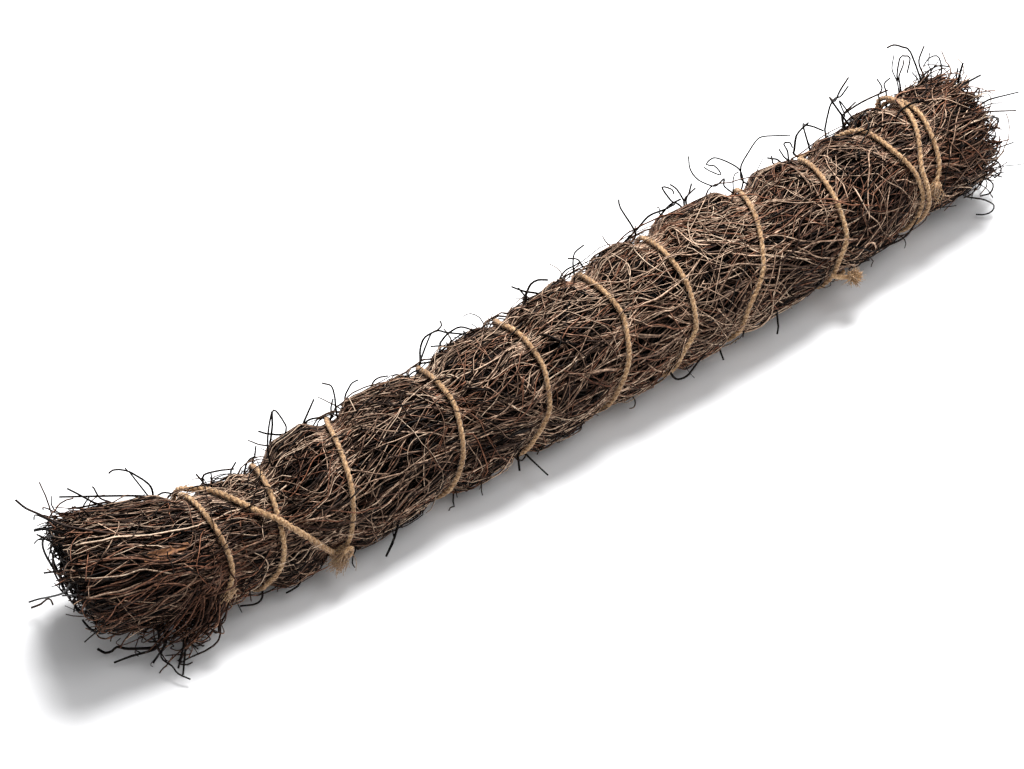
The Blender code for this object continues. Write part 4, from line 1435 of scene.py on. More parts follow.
@dataclass
class StrayTwigs(TwigPiece):
    """The single twigs that lie in the surface or run out of it, each by its own points."""

    rows: tuple = (
        # radius, redness, points from the foot to the tip
        (0.6, 0.1, ((-217.2, 11.8, 55), (-228.4, 20.6, 57.7), (-232.5, 24.8, 59.4),
            (-236.9, 30.5, 62.1), (-240.1, 34.5, 63.9), (-242.1, 38.6, 66.4))),
        (0.4, 0.1, ((-233.7, 27.4, 57.6), (-235.8, 30.7, 58.7), (-237.7, 32.8, 59.2),
            (-238.9, 31.7, 58))),
        (0.45, 0.1, ((-231.5, 21.6, 55), (-236.1, 26, 55.7), (-240.2, 29.1, 55.9))),
        (0.45, 0.1, ((-232.6, 18.6, 52.6), (-235.9, 19.4, 54.5), (-239.1, 20.9, 57.3),
            (-241.9, 23, 61.1))),
        (0.55, 0.1, ((-234.7, 2.9, 54.9), (-240.3, 8, 52.5), (-242.8, 10.2, 51.4), (-246, 12.9, 49.9))),
        (0.55, 0.1, ((-239.9, 0.3, 53.4), (-240.3, 2.2, 49.9), (-241.4, 8.8, 36.8),
            (-243.7, 20.7, 20.4), (-245.5, 30, 8.4), (-249.5, 31.4, 7.7))),
        (0.45, 0.1, ((-250.8, 1.7, 49.7), (-249.7, 0.6, 49.5), (-249.9, -1.2, 48.3))),
        (0.5, 0.1, ((-237.5, -4, 49.6), (-238.5, -0.2, 44.3), (-241.4, 11.2, 31.6))),
        (0.5, 0.2, ((-188.3, 24.1, 40.1), (-194.9, 28.2, 42.8), (-208.5, 34.4, 46.5),
            (-223.7, 41, 50.4))),
        (0.5, 0.2, ((-207.4, 29.8, 46.1), (-212.2, 32.7, 45.8), (-217, 34.9, 45.1),
            (-222.3, 37.8, 44.6))),
        (0.5, 0.2, ((-210.1, 29.8, 46.2), (-213.8, 31.5, 50.1), (-218.2, 34.4, 56),
            (-221.2, 36.4, 59.7))),
        (0.5, 0.1, ((-190.3, 26, 41.6), (-189.9, 27.4, 45.9), (-191.3, 29.1, 49.3),
            (-193.6, 30.8, 52.7), (-196, 32.4, 55.8), (-198.8, 33.4, 58.2), (-202, 33.8, 59.9),
            (-203.9, 33.9, 59.1))),
        (0.4, 0.1, ((-193.6, 36.9, 46.9), (-193.9, 37.9, 47.4), (-194.5, 39.8, 48.4))),
        (0.45, 0.2, ((-189.9, 25.1, 40.9), (-186.7, 24.9, 42.1), (-184.4, 23.3, 42.1),
            (-181.9, 20.4, 41.4))),
        (0.45, 0.2, ((-206.6, 29.5, 45.8), (-209.7, 33.6, 47), (-209.9, 37.6, 49.4),
            (-210.3, 38.3, 49.7))),
        (0.5, 0.1, ((-168.9, 21, 37.2), (-169.3, 23.3, 38.5), (-170.1, 26.5, 40.1))),
        (0.5, 0.1, ((-169.7, 22, 38), (-167.7, 24.2, 40.2), (-161.9, 21.9, 41.3),
            (-156.5, 18.9, 41.7))),
        (0.45, 0.1, ((-156.4, 22.4, 36), (-155, 23, 37), (-153, 23.7, 38.3))),
        (0.7, 0.3, ((-215.7, -17.6, 13), (-217.7, -18.3, 10.5), (-226.6, -10.5, 6.8), (-229.9, -6.5, 6),
            (-232.1, -6, 4.3), (-234.6, -4.4, 2.9), (-236.3, -1, 3))),
        (0.6, 0.1, ((-215.7, -17.6, 13), (-218.7, -18.3, 9.9), (-227.2, -13.6, 6.1),
            (-233.9, -10.3, 2.8))),
        (0.45, 0.1, ((-213.8, -18.2, 12.1), (-218.2, -21.9, 8.3), (-216.3, -27, 6.3),
            (-215.7, -30.4, 4.6), (-212.7, -34.8, 3.4))),
        (0.6, 0.2, ((-213.6, -18.7, 11.8), (-217.1, -20.2, 9.4), (-221.9, -21.5, 6.5))),
        (0.55, 0.4, ((-206.4, -19.5, 10.7), (-208.6, -23.1, 8.4), (-214.4, -28.2, 4.4))),
        (0.55, 0.4, ((-205.3, -19.9, 10.4), (-209.1, -24.8, 5.8), (-213.6, -30, 1))),
        (0.45, 0.4, ((-206.4, -17.5, 12), (-205.8, -22.2, 9.3), (-203.9, -26.6, 7.4))),
        (0.45, 0.1, ((-146.2, 21.9, 36.3), (-144.8, 22.6, 37.2), (-142.6, 25, 39.7))),
        (0.45, 0.1, ((-149.7, 21.6, 35.9), (-148.6, 22, 36.6), (-147, 22.3, 37.5),
            (-145.3, 21.8, 37.9))),
        (0.5, 0.1, ((-136.6, 24, 38.2), (-135.8, 24.7, 38.9), (-132.4, 28.3, 42.6), (-130, 31.9, 45.8),
            (-128.6, 31.3, 46.1), (-128, 27.7, 44.1), (-128.1, 24.5, 42.1), (-129.8, 23, 40.4))),
        (0.5, 0.1, ((-126.8, 23.3, 38.3), (-131.1, 25.6, 37.9), (-135.2, 28.8, 38.2),
            (-137.6, 31.5, 38.8))),
        (0.5, 0.1, ((-123.1, 22.4, 37.9), (-116.4, 25.8, 42.9), (-112.4, 27.8, 45.8))),
        (0.5, 0.1, ((-122.5, 22.5, 38), (-118.7, 23.5, 40.3), (-115.3, 22.3, 41), (-112.9, 20.7, 41),
            (-111.4, 17.6, 39.8))),
        (0.45, 0.1, ((-109.1, 20.6, 38.8), (-107.4, 23.1, 41), (-105, 25.1, 43.3))),
        (0.45, 0.1, ((-107.6, 21.5, 38.2), (-105.5, 22.8, 39.9), (-102.8, 22.6, 40.9),
            (-99.3, 22.6, 42.4))),
        (0.45, 0.1, ((-99.4, 24.9, 40.5), (-96.3, 26.5, 42.8), (-94.3, 27.1, 44), (-91.7, 26.5, 44.8))),
        (0.45, 0.1, ((-86.5, 24.3, 39.9), (-83.2, 24.8, 41.6), (-79.3, 23, 42.1))),
        (0.5, 0, ((-63.1, 23.5, 39.1), (-60.8, 26.8, 42.2), (-57.9, 28.9, 44.7), (-55.2, 29.1, 45.9),
            (-50.9, 27.9, 47.1), (-48.6, 25.5, 46.6), (-42.8, 20.9, 46.2), (-39.3, 18.1, 45.9))),
        (0.45, 0, ((-63.5, 22.9, 38.7), (-63.2, 22.3, 43), (-61.8, 19.5, 55.4), (-60.8, 17.1, 63.9),
            (-58.3, 16.6, 64.6), (-56, 16.9, 65.8), (-55.7, 18.6, 66.9))),
        (0.5, 0, ((-51.9, 25.2, 40.7), (-50.9, 25.9, 41.6), (-47.6, 26.5, 43.3), (-44.5, 26.3, 44.5),
            (-41.3, 25.3, 45.3), (-37.9, 21.8, 44.6), (-36.2, 19, 43.5))),
        (0.5, 0, ((-43.2, 16.9, 45.9), (-43.3, 18.5, 46.8), (-42.7, 20.9, 48.6))),
        (0.4, 0, ((-36.7, 17.5, 46.1), (-35.1, 18.5, 47.5), (-32.5, 18.2, 48.4), (-29.6, 16, 48.3))),
        (0.45, 0, ((-49, 23.5, 39.7), (-52.8, 26.2, 39.7), (-55.2, 27.5, 39.6))),
        (0.55, 0, ((-2.8, 22.1, 42.3), (-5.2, 21.4, 46.6), (-12.9, 19.4, 55.3), (-19.8, 18.5, 64))),
        (0.5, 0, ((-8.6, 21.2, 43.3), (-9.1, 23, 44.3), (-10, 28, 46.9))),
        (0.6, 0, ((-12.5, 20.1, 44.4), (-11, 21.5, 45.9), (-9, 23.2, 47.8), (-5.9, 24.5, 50),
            (-2.6, 24, 51), (0.9, 21.6, 51))),
        (0.45, 0, ((9.8, 25.2, 42.5), (13.5, 26, 44.6), (17.1, 25.2, 45.6), (20, 24.9, 46.6))),
        (0.45, 0, ((21.8, 24.3, 41.9), (14.4, 19.1, 57.8), (6.8, 15.7, 67.2))),
        (0.5, 0, ((28, 24.1, 41.9), (31.5, 25.4, 44.2), (36.4, 24.2, 45.5), (39.4, 22.5, 45.8))),
        (0.5, 0, ((47.1, 24.2, 42.3), (47.4, 22.3, 49.1), (45, 22.3, 56.5), (38.8, 22.9, 71.7),
            (39.8, 25.5, 73.7))),
        (0.55, 0, ((41.7, 24.8, 42.6), (50.4, 25.6, 46.8), (57.5, 26.5, 50.4), (64.3, 24.5, 52.1),
            (69.1, 23.5, 53.5))),
        (0.55, 0, ((59, 25.1, 43.5), (63.7, 26.5, 46.4), (69.4, 27.2, 49.3), (74.5, 26.2, 50.8))),
        (0.55, 0, ((77.2, 27.2, 45.4), (77.6, 28.6, 46.5), (77.3, 33.1, 49.1), (75.8, 36, 50.3))),
        (0.5, 0, ((74.4, 27.8, 46), (70.6, 27.9, 50.4), (65.9, 29.1, 61.3), (69, 26.1, 60.7),
            (68.7, 24.2, 59.4))),
        (0.55, 0, ((78.7, 27.8, 45.9), (81, 28.9, 47.5), (84, 31.2, 50.2))),
        (0.5, 0, ((77.7, 27.8, 45.9), (81.4, 28.6, 48), (84.3, 28.7, 49.3))),
        (0.42, 0, ((98.3, 26, 44.1), (98.2, 26.3, 48.6), (91.4, 23.7, 50.8), (86.5, 24.4, 54.7),
            (82, 25.5, 59.9), (79, 27, 66.7), (78, 27.5, 74.9))),
        (0.42, 0, ((107.3, 23.9, 42.3), (107.3, 24.4, 44.6), (107, 25.4, 47.8), (105.5, 26.8, 51.1),
            (100.2, 29.4, 56.4), (95, 31, 60), (89.6, 29, 61), (92.2, 26.8, 60.6), (93, 24.3, 59.4),
            (92.6, 22.5, 58.3), (89.5, 26.4, 59.4), (88.2, 28.9, 60.3))),
        (0.42, 0, ((107.5, 25, 43.1), (107, 26, 49.8), (107.6, 26, 53.6), (109.2, 24.8, 59.9),
            (111.4, 23, 67.9), (112.8, 20.9, 71.7), (117.5, 18.1, 72), (123.3, 14.4, 72.1))),
        (0.35, 0, ((103.1, 25.8, 43.8), (103.9, 26.7, 44.7), (105.4, 27.6, 45.9), (107.3, 27.3, 46.5))),
        (0.55, 0, ((128.1, 24.9, 42.6), (127.5, 26.1, 43.1), (124.4, 28.8, 43.4))),
        (0.5, 0, ((125.2, 24.8, 42.6), (125.1, 25.9, 43.2), (125.9, 27.8, 44.8))),
        (0.5, 0, ((131.5, 24.9, 42.5), (131.2, 26.3, 43.3), (131, 29.1, 44.9))),
        (0.5, 0, ((133.7, 25.7, 43), (134.1, 27.1, 44.1), (134.1, 29.5, 45.6), (135.1, 29.6, 46),
            (136.7, 28.3, 46), (136.5, 26.3, 44.6))),
        (0.6, 0, ((136.9, 25.3, 41.3), (136.8, 25.3, 43.3), (136.7, 25.3, 47.8), (136.7, 24.9, 53.9),
            (137.6, 23.2, 59.2), (138.7, 20.6, 64.8))),
        (0.55, 0, ((145.9, 31.2, 48.8), (146.8, 31, 49.1), (149.8, 28.1, 48.5), (152.4, 24.6, 47.5))),
        (0.55, 0, ((156.6, 28, 41.7), (157.1, 28.7, 42.8), (160, 31.2, 47.3), (162.6, 32.9, 50.9),
            (165.3, 33.2, 53.4), (167, 32.1, 54), (170.2, 32.3, 56.9), (171.5, 32.5, 58))),
        (0.55, 0, ((165.1, 36.1, 50.3), (163.6, 31.6, 53.8), (161.9, 27.4, 65.5), (167.5, 29.1, 68.9))),
        (0.45, 0, ((168.1, 33.2, 49.8), (167.3, 28.4, 46.4), (166.8, 27.1, 45.5))),
        (0.5, 0, ((168.4, 30, 42.6), (175.9, 30.9, 46.3))),
        (0.55, 0, ((167.4, 29.5, 42.2), (169, 30.2, 43.3), (178.1, 29.1, 46.6), (190.1, 26.1, 49.8))),
        (0.55, 0.1, ((207.1, 22, 45.8), (207.5, 23.4, 47.6), (207.3, 32.8, 58.4), (204.7, 35.7, 60.6),
            (201.3, 37.9, 62), (197.7, 38.2, 62))),
        (0.55, 0.1, ((209.5, 20.8, 46.7), (209.6, 23.4, 48.3), (210.6, 29.7, 52.6), (215.8, 33.1, 57))),
        (0.35, 0.1, ((212.6, 23.2, 50.5), (213.4, 26.7, 52.9), (216.4, 29.4, 55.9))),
        (0.5, 0.3, ((200, 28.9, 45.3), (200.5, 32, 47.5), (205.3, 36.6, 52.4), (207.6, 35.9, 52.9),
            (209, 34, 52.4), (204.9, 30.3, 48.3))),
        (0.4, 0.2, ((198.9, 29, 45.2), (199.4, 31.3, 46.9), (200, 35.3, 49.6), (203.6, 38.9, 53.4))),
        (0.5, 0.5, ((199.6, 28.3, 44.7), (201.3, 31.5, 47.4), (204.8, 33.5, 50.2), (206.4, 35, 51.8))),
        (0.5, 0.1, ((207.8, 23.9, 47.5), (215, 27.9, 45.1), (224.4, 30.6, 41.1), (232, 30.9, 35.9))),
        (0.6, 0.1, ((218.9, 11.6, 49.1), (219.2, 12.1, 53.5), (220.2, 12.2, 61.3))),
        (0.5, 0.4, ((217.8, 12.4, 49), (219.2, 13.6, 50.4), (222.2, 16.4, 53.3))),
        (0.6, 0.1, ((216.2, 7.3, 50.5), (221.9, 9.7, 49.4), (233.1, 12, 46))),
        (0.45, 0, ((224.4, -2.9, 48), (230.6, -2.3, 45.5), (245.1, -1.5, 39.4))),
        (0.5, 0.1, ((220.6, -7.6, 46.7), (226.2, -7.2, 43.4), (235, -6.6, 37.7), (240.5, -6.2, 34.2))),
        (0.4, 0.1, ((197.5, -18.2, 41), (211.4, -15.6, 33.7), (226, -13.6, 25.3),
            (237.6, -11.3, 19.2))),
        (0.45, 0.1, ((212.9, -20.5, 28.7), (222.7, -16.6, 22.7), (232.1, -11.7, 17.3))),
        (0.45, 0, ((198.5, -21.1, 20.9), (199.8, -22.4, 17.2), (204.6, -23.6, 13.8), (210.7, -25, 9.8),
            (215.1, -27, 5.1), (213.1, -28.3, 3.5), (209.8, -27.4, 2.6), (206.5, -25.1, 2.6))),
        (0.55, 0.1, ((144, -24.8, 18.1), (146.8, -25.4, 18.9), (154.7, -27.9, 20.8),
            (159.6, -28.6, 22.4), (163.9, -27.8, 24.8), (167.6, -26.4, 27.2))),
        (0.5, 0.1, ((188.1, 28, 42.8), (188.2, 29.7, 43.8), (191.3, 31.1, 46), (191.2, 35, 48.5))),
        (0.5, 0.1, ((191.7, 28.6, 45.3), (192.6, 31.5, 47.5), (196, 31.7, 49.1))),
        (0.5, 0.3, ((218.5, 1.7, 50.1), (222.8, 2.3, 52.3), (220.4, -0.4, 49.6))),
        (0.45, 0.1, ((218.9, -9.8, 45.7), (230.1, -5.2, 34.4), (234.7, -1.8, 22.7), (236, 4.3, 13.1))),
        (0.45, 0.1, ((210.7, -20.2, 32.5), (215, -24.1, 32), (214.1, -27.8, 29.3),
            (210.3, -27.8, 27.7))),
        (0.45, 0.1, ((211.4, -21.7, 21.3), (213.1, -25.6, 19.7), (210.2, -27.5, 17.3),
            (205.8, -25.8, 16.4))),
        (0.6, 0, ((-104.1, -24.1, 16.2), (-105.6, -24.4, 15.3), (-110.7, -28.2, 10.8),
            (-117.1, -31.4, 6.1))),
        (0.35, 0, ((-111.1, -28.5, 10.5), (-114.1, -30.6, 9), (-116.8, -32.1, 8))),
        (0.35, 0, ((-126.5, -23.4, 9.9), (-128.3, -24.4, 8.6), (-130.3, -26.3, 6.5),
            (-130.3, -28.3, 5.3))),
        (0.6, 0, ((-45.2, -23, 11.5), (-45.7, -23.9, 10.6), (-47.7, -27.8, 7.4))),
        (0.5, 0, ((-46.2, -22.9, 11.5), (-46.4, -24, 10.7), (-44.8, -25.7, 10.4), (-42.1, -24.9, 12))),
        (0.45, 0, ((-41.9, -24.1, 10.9), (-41.7, -25.8, 10.5), (-39.6, -37.1, 8.7))),
        (0.55, 0, ((33.9, -27.3, 20), (30.8, -27.4, 18.6), (31.2, -31.2, 16.4), (35.7, -33.1, 17.2),
            (42.3, -31.8, 20.8), (46.1, -31.6, 22.6))),
        (0.55, 0, ((58.6, -26, 11.7), (58.6, -27.3, 10.9), (58.1, -30.3, 8.8))),
        (0.55, 0, ((89.6, -26.9, 19.2), (88.5, -27.7, 17.2), (87.2, -31, 12.3), (85.8, -32.4, 9.3))),
        (0.5, 0, ((-153.8, -23.6, 8.3), (-157.8, -23.6, 6.6), (-160.3, -23, 5.8))),
        (0.5, 0, ((-170.4, -21.1, 8.5), (-173.9, -21.1, 7), (-179.3, -18.2, 6.6))),
        (0.45, 0.1, ((-140, 7.6, 44), (-143.8, 8.2, 45.2), (-144.6, 10, 49.5), (-143.3, 12.6, 55.3),
            (-140.5, 15.4, 61.5), (-137, 18, 67))),
        (0.45, 0.1, ((-106, 14.8, 41.6), (-108.6, 15.3, 43.1), (-108.3, 17.1, 47.4), (-107.2, 19.4, 53),
            (-107.4, 21.2, 58.3), (-111, 22, 62))),
        (0.45, 0.1, ((8, 16.3, 45.5), (11.4, 17.2, 46.2), (13.1, 19.7, 48.9), (14.1, 22, 53),
            (15.4, 22.6, 58.2), (18, 20, 64))),
    )
    laid: tuple = (
        # points of each loose twig where it lies in the surface
        ((-178, 20.7, 34.8), (-203.2, 25.9, 39.2), (-212, 28.3, 41.2)),
        ((-186, 24.8, 29.2), (-204, 28.7, 32)),
        ((-170, 14.6, 38.8), (-188, 18.1, 42.4)),
        ((-128, 7.8, 45.3), (-134.9, 7.9, 45.2), (-140, 7.6, 44)),
        ((-92, 15.1, 41.8), (-106, 14.8, 41.6)),
        ((-84, 15.1, 41.7), (-74, 14.9, 41.7)),
        ((-2, 16.8, 45.9), (-9.7, 16.8, 45.9), (-15, 16.2, 45.2)),
        ((-22, 8.3, 48.5), (-8, 9, 50.6)),
        ((0, 16.8, 46.1), (8, 16.3, 45.5)),
        ((24, 16.3, 45.8), (34, 16.9, 46.7)),
        ((56, 22.3, 39.9), (63, 22.8, 40.1)),
        ((60, 16.9, 47.2), (70, 17.4, 47.5)),
        ((74, 23.3, 40.1), (86, 22.9, 39.6)),
        ((82, 17.2, 47), (91, 16.3, 45.7)),
        ((112, 16.3, 45.1), (115.5, 16.5, 45.3), (124, 15.8, 44.2)),
        ((142, 15.7, 43.4), (152, 16.7, 44.1)),
        ((160, 21.6, 37.3), (168, 22.7, 38.1)),
        ((214, 19.3, 44.7), (204, 19.6, 45.9)),
        ((186, 3.5, 50.6), (206, 4, 51.1)),
        ((190, -4.3, 49.4), (206.6, -4.2, 49.7), (213, -3.8, 48.5)),
        ((190, -11.5, 45.5), (206.6, -11.3, 45.5), (213, -10.9, 44.6)),
        ((190, -20, 23.3), (206.6, -20.5, 22.9), (211, -20, 22.6)),
        ((186, -16.8, 15.8), (195.2, -17.3, 15.4), (204, -17.1, 15.1)),
        ((-170, 22.3, 19.6), (-180.5, 23.5, 21.2), (-191.8, 25.6, 22.4), (-203.2, 28.4, 24.2),
         (-212, 31.3, 25.8)),
        ((-186, -17.1, 29.1), (-191.8, -17.1, 30), (-203.2, -16, 32), (-216, -14.1, 34.7)),
        ((-202, -12.8, 16.8), (-214, -11.2, 18.6)),
        ((-188, -16.9, 22), (-191.8, -16.3, 22.5), (-204, -16.1, 24.2)),
        ((-184, -15.5, 14.2), (-191.8, -13.7, 15.7), (-198, -13.2, 16.3)),
        ((-100, -20.8, 11.9), (-112, -20.8, 12)),
        ((-14, -21.9, 13.2), (-21.1, -22.5, 12.8), (-31, -21.9, 12.9)),
        ((62, -22.4, 14.1), (70, -22, 14.1), (76, -22.3, 13.8)),
        ((196, 11.7, 49.2), (206.6, 12.3, 49.8), (210, 12.2, 49.2)),
        ((190, -16.9, 39.4), (195.2, -17.1, 39.6), (212, -16.2, 38.5)),
        ((188, 26.3, 31.5), (207, 27.3, 31.3)),
        ((190, 23.6, 15.9), (195.2, 23.8, 16), (207, 24.9, 15.1)),
        ((-196, 5.2, 49.2), (-218, 9.7, 53.8)),
        ((-194, -9.8, 43.9), (-203.2, -7.9, 45.2), (-214, -5.7, 47.7)),
        ((-196, 19.6, 44), (-203.2, 21, 45.2), (-213, 23.4, 47.6)),
        ((-150, -7.2, 42.2), (-134.9, -7.8, 44.7), (-100.8, -8.1, 46.2), (-84, -8.1, 46)),
        ((-122, -19.7, 35.4), (-112.2, -20.9, 36.1), (-89.4, -20.5, 35.6), (-78, -19.3, 35),
         (-66.6, -19.7, 35.7), (-58, -20.8, 36.7)),
        ((-62, -15.2, 42.5), (-55.2, -15.9, 43.7), (-21.1, -15.6, 44.4), (1.7, -16.8, 46),
         (13.1, -15.9, 45.1), (18, -16.4, 45.8)),
        ((-22, -25.8, 30.3), (-9.7, -25.7, 30.4), (1.7, -24.2, 30.3), (13.1, -24.6, 30.5),
         (24.5, -26.5, 31.1), (35.9, -24.9, 31), (52, -25.7, 31.5)),
        ((22, 0, 51.6), (35.9, 0, 53.3), (47.2, 0, 52.3), (58.6, 0, 54.2), (70, 0, 54.3),
         (84, 0, 53.2)),
        ((60, -17.2, 47.5), (70, -17.3, 47.4), (81.4, -16.2, 45.8), (92.8, -16.1, 45.4),
         (104.2, -16.6, 45.7), (115.5, -16.3, 45), (126.9, -15.3, 43.5), (132, -15.3, 43.5)),
        ((96, -26, 30.7), (104.2, -25.7, 30.5), (115.5, -24.2, 29.9), (126.9, -23.5, 29.4),
         (138.3, -24, 29.3), (149.7, -23.6, 29.5), (158, -22.4, 29.9)),
        ((-92, -23.3, 19.7), (-78, -21.9, 19.9), (-66.6, -24, 20.1), (-55.2, -24.5, 20.4),
         (-43.9, -23.4, 21.1), (-30, -24.5, 21.3)),
        ((-100, 19.4, 12.7), (-89.4, 20.2, 12.1), (-78, 20.3, 12.1), (-55.2, 20.1, 13.1),
         (-43.9, 21.8, 12.7), (-34, 21.9, 12.9)),
        ((30, 25.3, 22), (35.9, 26, 22), (47.2, 25.1, 22.4), (58.6, 25.3, 22.6), (70, 25.9, 22.2),
         (92.8, 25.8, 21.7), (96, 25.3, 21.7)),
    )
    root_depth: float = 2.6
    root_run: float = 7.0
    least_radius: float = 0.34
    taper: float = 0.25
    step: float = 1.2
    slack: float = 0.06
    tones: tuple = (0.10, 0.42)
    laid_radii: tuple = (0.42, 0.6)
    laid_taper: float = 0.2
    laid_step: float = 2.5
    laid_tones: tuple = (0.2, 0.75)
    laid_ruddy: tuple = (0.0, 0.5)
    seed: int = 77
    sides: int = 6
    name: str = "stray_twigs"

    def path(self, spots: tuple) -> np.ndarray:
        """Root one twig under the surface and run it through its points.

        Args:
            spots: the points that the twig goes through.

        Returns:
            The twig's path, from its root to its tip.
        """
        spots = np.array(spots, dtype=float)
        foot, onward = spots[0], spots[1]
        back = -math.copysign(self.root_run, onward[0] - foot[0])
        angle = float(FORM.angle(foot))
        roots = []
        for share in (1.0, 0.45):
            x = foot[0] + back * share
            roots.append(FORM.place(x, angle, FORM.radius(x) - self.root_depth * share - 0.4))
        return smooth_through([*roots, *spots], self.step)

    def strands(self) -> list:
        """Lay all the stray twigs."""
        rng = np.random.default_rng(self.seed)
        made = []
        for radius, ruddy, spots in self.rows:
            path = self.path(spots)
            radii = max(self.least_radius, radius) * (1 - self.taper * np.linspace(0, 1, len(path)))
            path[:, 2] = np.maximum(path[:, 2], radii + FORM.floor_gap)
            chosen = thinned(path, self.slack)
            made.append(Strand(path[chosen], radii[chosen], rng.uniform(*self.tones), ruddy))
        for spots in self.laid:
            path = smooth_through(list(spots), self.laid_step)
            thick = rng.uniform(*self.laid_radii)
            radii = thick * (1 - self.laid_taper * np.linspace(0, 1, len(path)))
            tone, ruddy = rng.uniform(*self.laid_tones), rng.uniform(*self.laid_ruddy)
            made.append(Strand(path, radii, tone, ruddy))
        return made


@dataclass
class Twine:
    """The two-ply jute twine, wound from one knot to the other."""

    ply_radius: float = 0.78
    ply_offset: float = 0.42
    pitch: float = 5.8
    sample: float = 3.0
    step: float = 0.7
    fibres: int = 3900
    seed: int = 3
    swell: tuple = ((-18, 60, 130, 200), (1.22, 1.18, 1.05, 1.0))
    near_knot: tuple = (-132.3, -26.4, 17.1)
    brushes: tuple = (
        # root, direction, length, number, spread
        ((-133.0, -26.0, 17.6), (-0.74, -0.21, -0.64), 8.5, 240, 0.24),
        ((126.8, -32.3, 20.7), (0.45, -0.45, -0.1), 4.0, 330, 1.0),
        ((-182.5, -19.8, 25.0), (-0.8, -0.25, -0.5), 7.0, 80, 0.35),
        ((180.5, -22.0, 38.0), (-0.35, -0.25, -1.0), 8.0, 70, 0.25),
    )
    far_stem: tuple = ((118.0, -27.6, 22.5), (122.0, -29.6, 20.6), (126.8, -32.3, 20.7))
    stem_radii: tuple = (1.2, 0.9)
    knot_turn: float = 4.2 * math.pi
    knot_points: int = 40
    knot_radius: float = 0.85
    sunk_depth: float = 2.8
    lift_step: float = 0.15
    lift_rounds: int = 60
    least_apart: int = 30
    brush_step: float = 1.2
    brush_radii: tuple = (0.24, 0.10)
    fibre_radii: tuple = (0.075, 0.06, 0.03)
    fibre_floor: float = 0.3
    name: str = "jute_twine"

    def route(self) -> tuple:
        """Lay the twine's middle line over the twigs and over itself.

        Returns:
            The line's points, evenly spaced, and the total angle at each.
        """
        first, last = WINDING.route[0][0], WINDING.route[-1][0]
        totals = np.arange(first, last, self.sample)
        x = evened(WINDING.x_at(totals))
        radius = FORM.radius(x) - WINDING.depth + WINDING.radius - self.sunk_depth * WINDING.sink(totals)
        points = FORM.place(x, totals, radius)
        floor = WINDING.radius + 0.2 + FORM.rise(x)
        points[:, 2] = np.maximum(points[:, 2], floor)
        away = FORM.outward(points)
        lift = self.lifts(points, away)
        points = points + away * lift[:, None]
        run = np.concatenate(([0], np.cumsum(np.linalg.norm(np.diff(points, axis=0), axis=1))))
        even = np.arange(0, run[-1], self.step)
        line = np.stack([np.interp(even, run, points[:, axis]) for axis in range(3)], -1)
        return line, np.interp(even, run, totals)

    def lifts(self, points: np.ndarray, away: np.ndarray) -> np.ndarray:
        """Tell how far each point has to rise to pass over later turns.

        Args:
            points: the line without lifts.
            away: the directions outwards.

        Returns:
            The rise at each point.
        """
        count = len(points)
        lift = np.zeros(count)
        need = 2 * WINDING.radius + self.lift_step
        order = np.arange(count)
        apart = np.abs(order[:, None] - order[None]) > self.least_apart
        for _ in range(self.lift_rounds):
            now = points + away * lift[:, None]
            gaps = np.linalg.norm(now[:, None] - now[None], axis=2)
            close = apart & (gaps < need) & (order[:, None] < order[None])
            if not close.any():
                break
            lift[close.any(axis=1)] += self.lift_step
            lift = np.maximum(lift, evened(lift))
        return lift

    def plies(self, line: np.ndarray, swell: np.ndarray) -> list:
        """Twist two plies round a line.

        Args:
            line: the twine's middle line, evenly spaced.
            swell: how much thicker the twine is at each point.

        Returns:
            The two plies.
        """
        ways = unit(np.gradient(line, axis=0))
        away = FORM.outward(line)
        away = unit(away - ways * (away * ways).sum(1, keepdims=True))
        across = np.cross(ways, away)
        turn = 2 * math.pi * np.arange(len(line)) * self.step / self.pitch
        made = []
        for start in (0.0, math.pi):
            spin = (turn + start)[:, None]
            side = np.cos(spin) * away + np.sin(spin) * across
            path = line + self.ply_offset * swell[:, None] * side
            made.append(Strand(path, self.ply_radius * swell))
        return made

    def knots(self) -> list:
        """Tie the near knot and lay the stem of the far tuft."""
        middle = np.array(self.near_knot)
        turn = np.linspace(0, self.knot_turn, self.knot_points)
        rise = 2.1 * np.sin(turn) - 0.25 * turn + 1.5
        loop = np.stack((1.9 * np.cos(turn), -1.2 + 0.06 * turn, rise), -1)
        made = [Strand(middle + loop, np.full(self.knot_points, self.knot_radius))]
        stem = smooth_through(list(self.far_stem), self.step)
        made.append(Strand(stem, np.linspace(*self.stem_radii, len(stem))))
        return made

    def brush(self, rng: np.random.Generator, row: tuple) -> list:
        """Fray a place of the twine into fibres.

        Args:
            rng: the source of random numbers.
            row: the fibres' root, direction, length, number and spread.

        Returns:
            The fibres.
        """
        root, direction, length, count, spread = row
        made = []
        for _ in range(count):
            way = unit(np.array(direction) + rng.normal(0, spread, 3))
            start = np.array(root) + rng.normal(0, 0.8, 3)
            reach = length * rng.uniform(0.45, 1.1)
            middle = start + way * reach * 0.5 + rng.normal(0, 0.12, 3) * reach
            tip = start + way * reach + rng.normal(0, 0.18, 3) * reach
            path = smooth_through([start, middle, tip], self.brush_step)
            made.append(Strand(path, np.linspace(*self.brush_radii, len(path))))
        return made

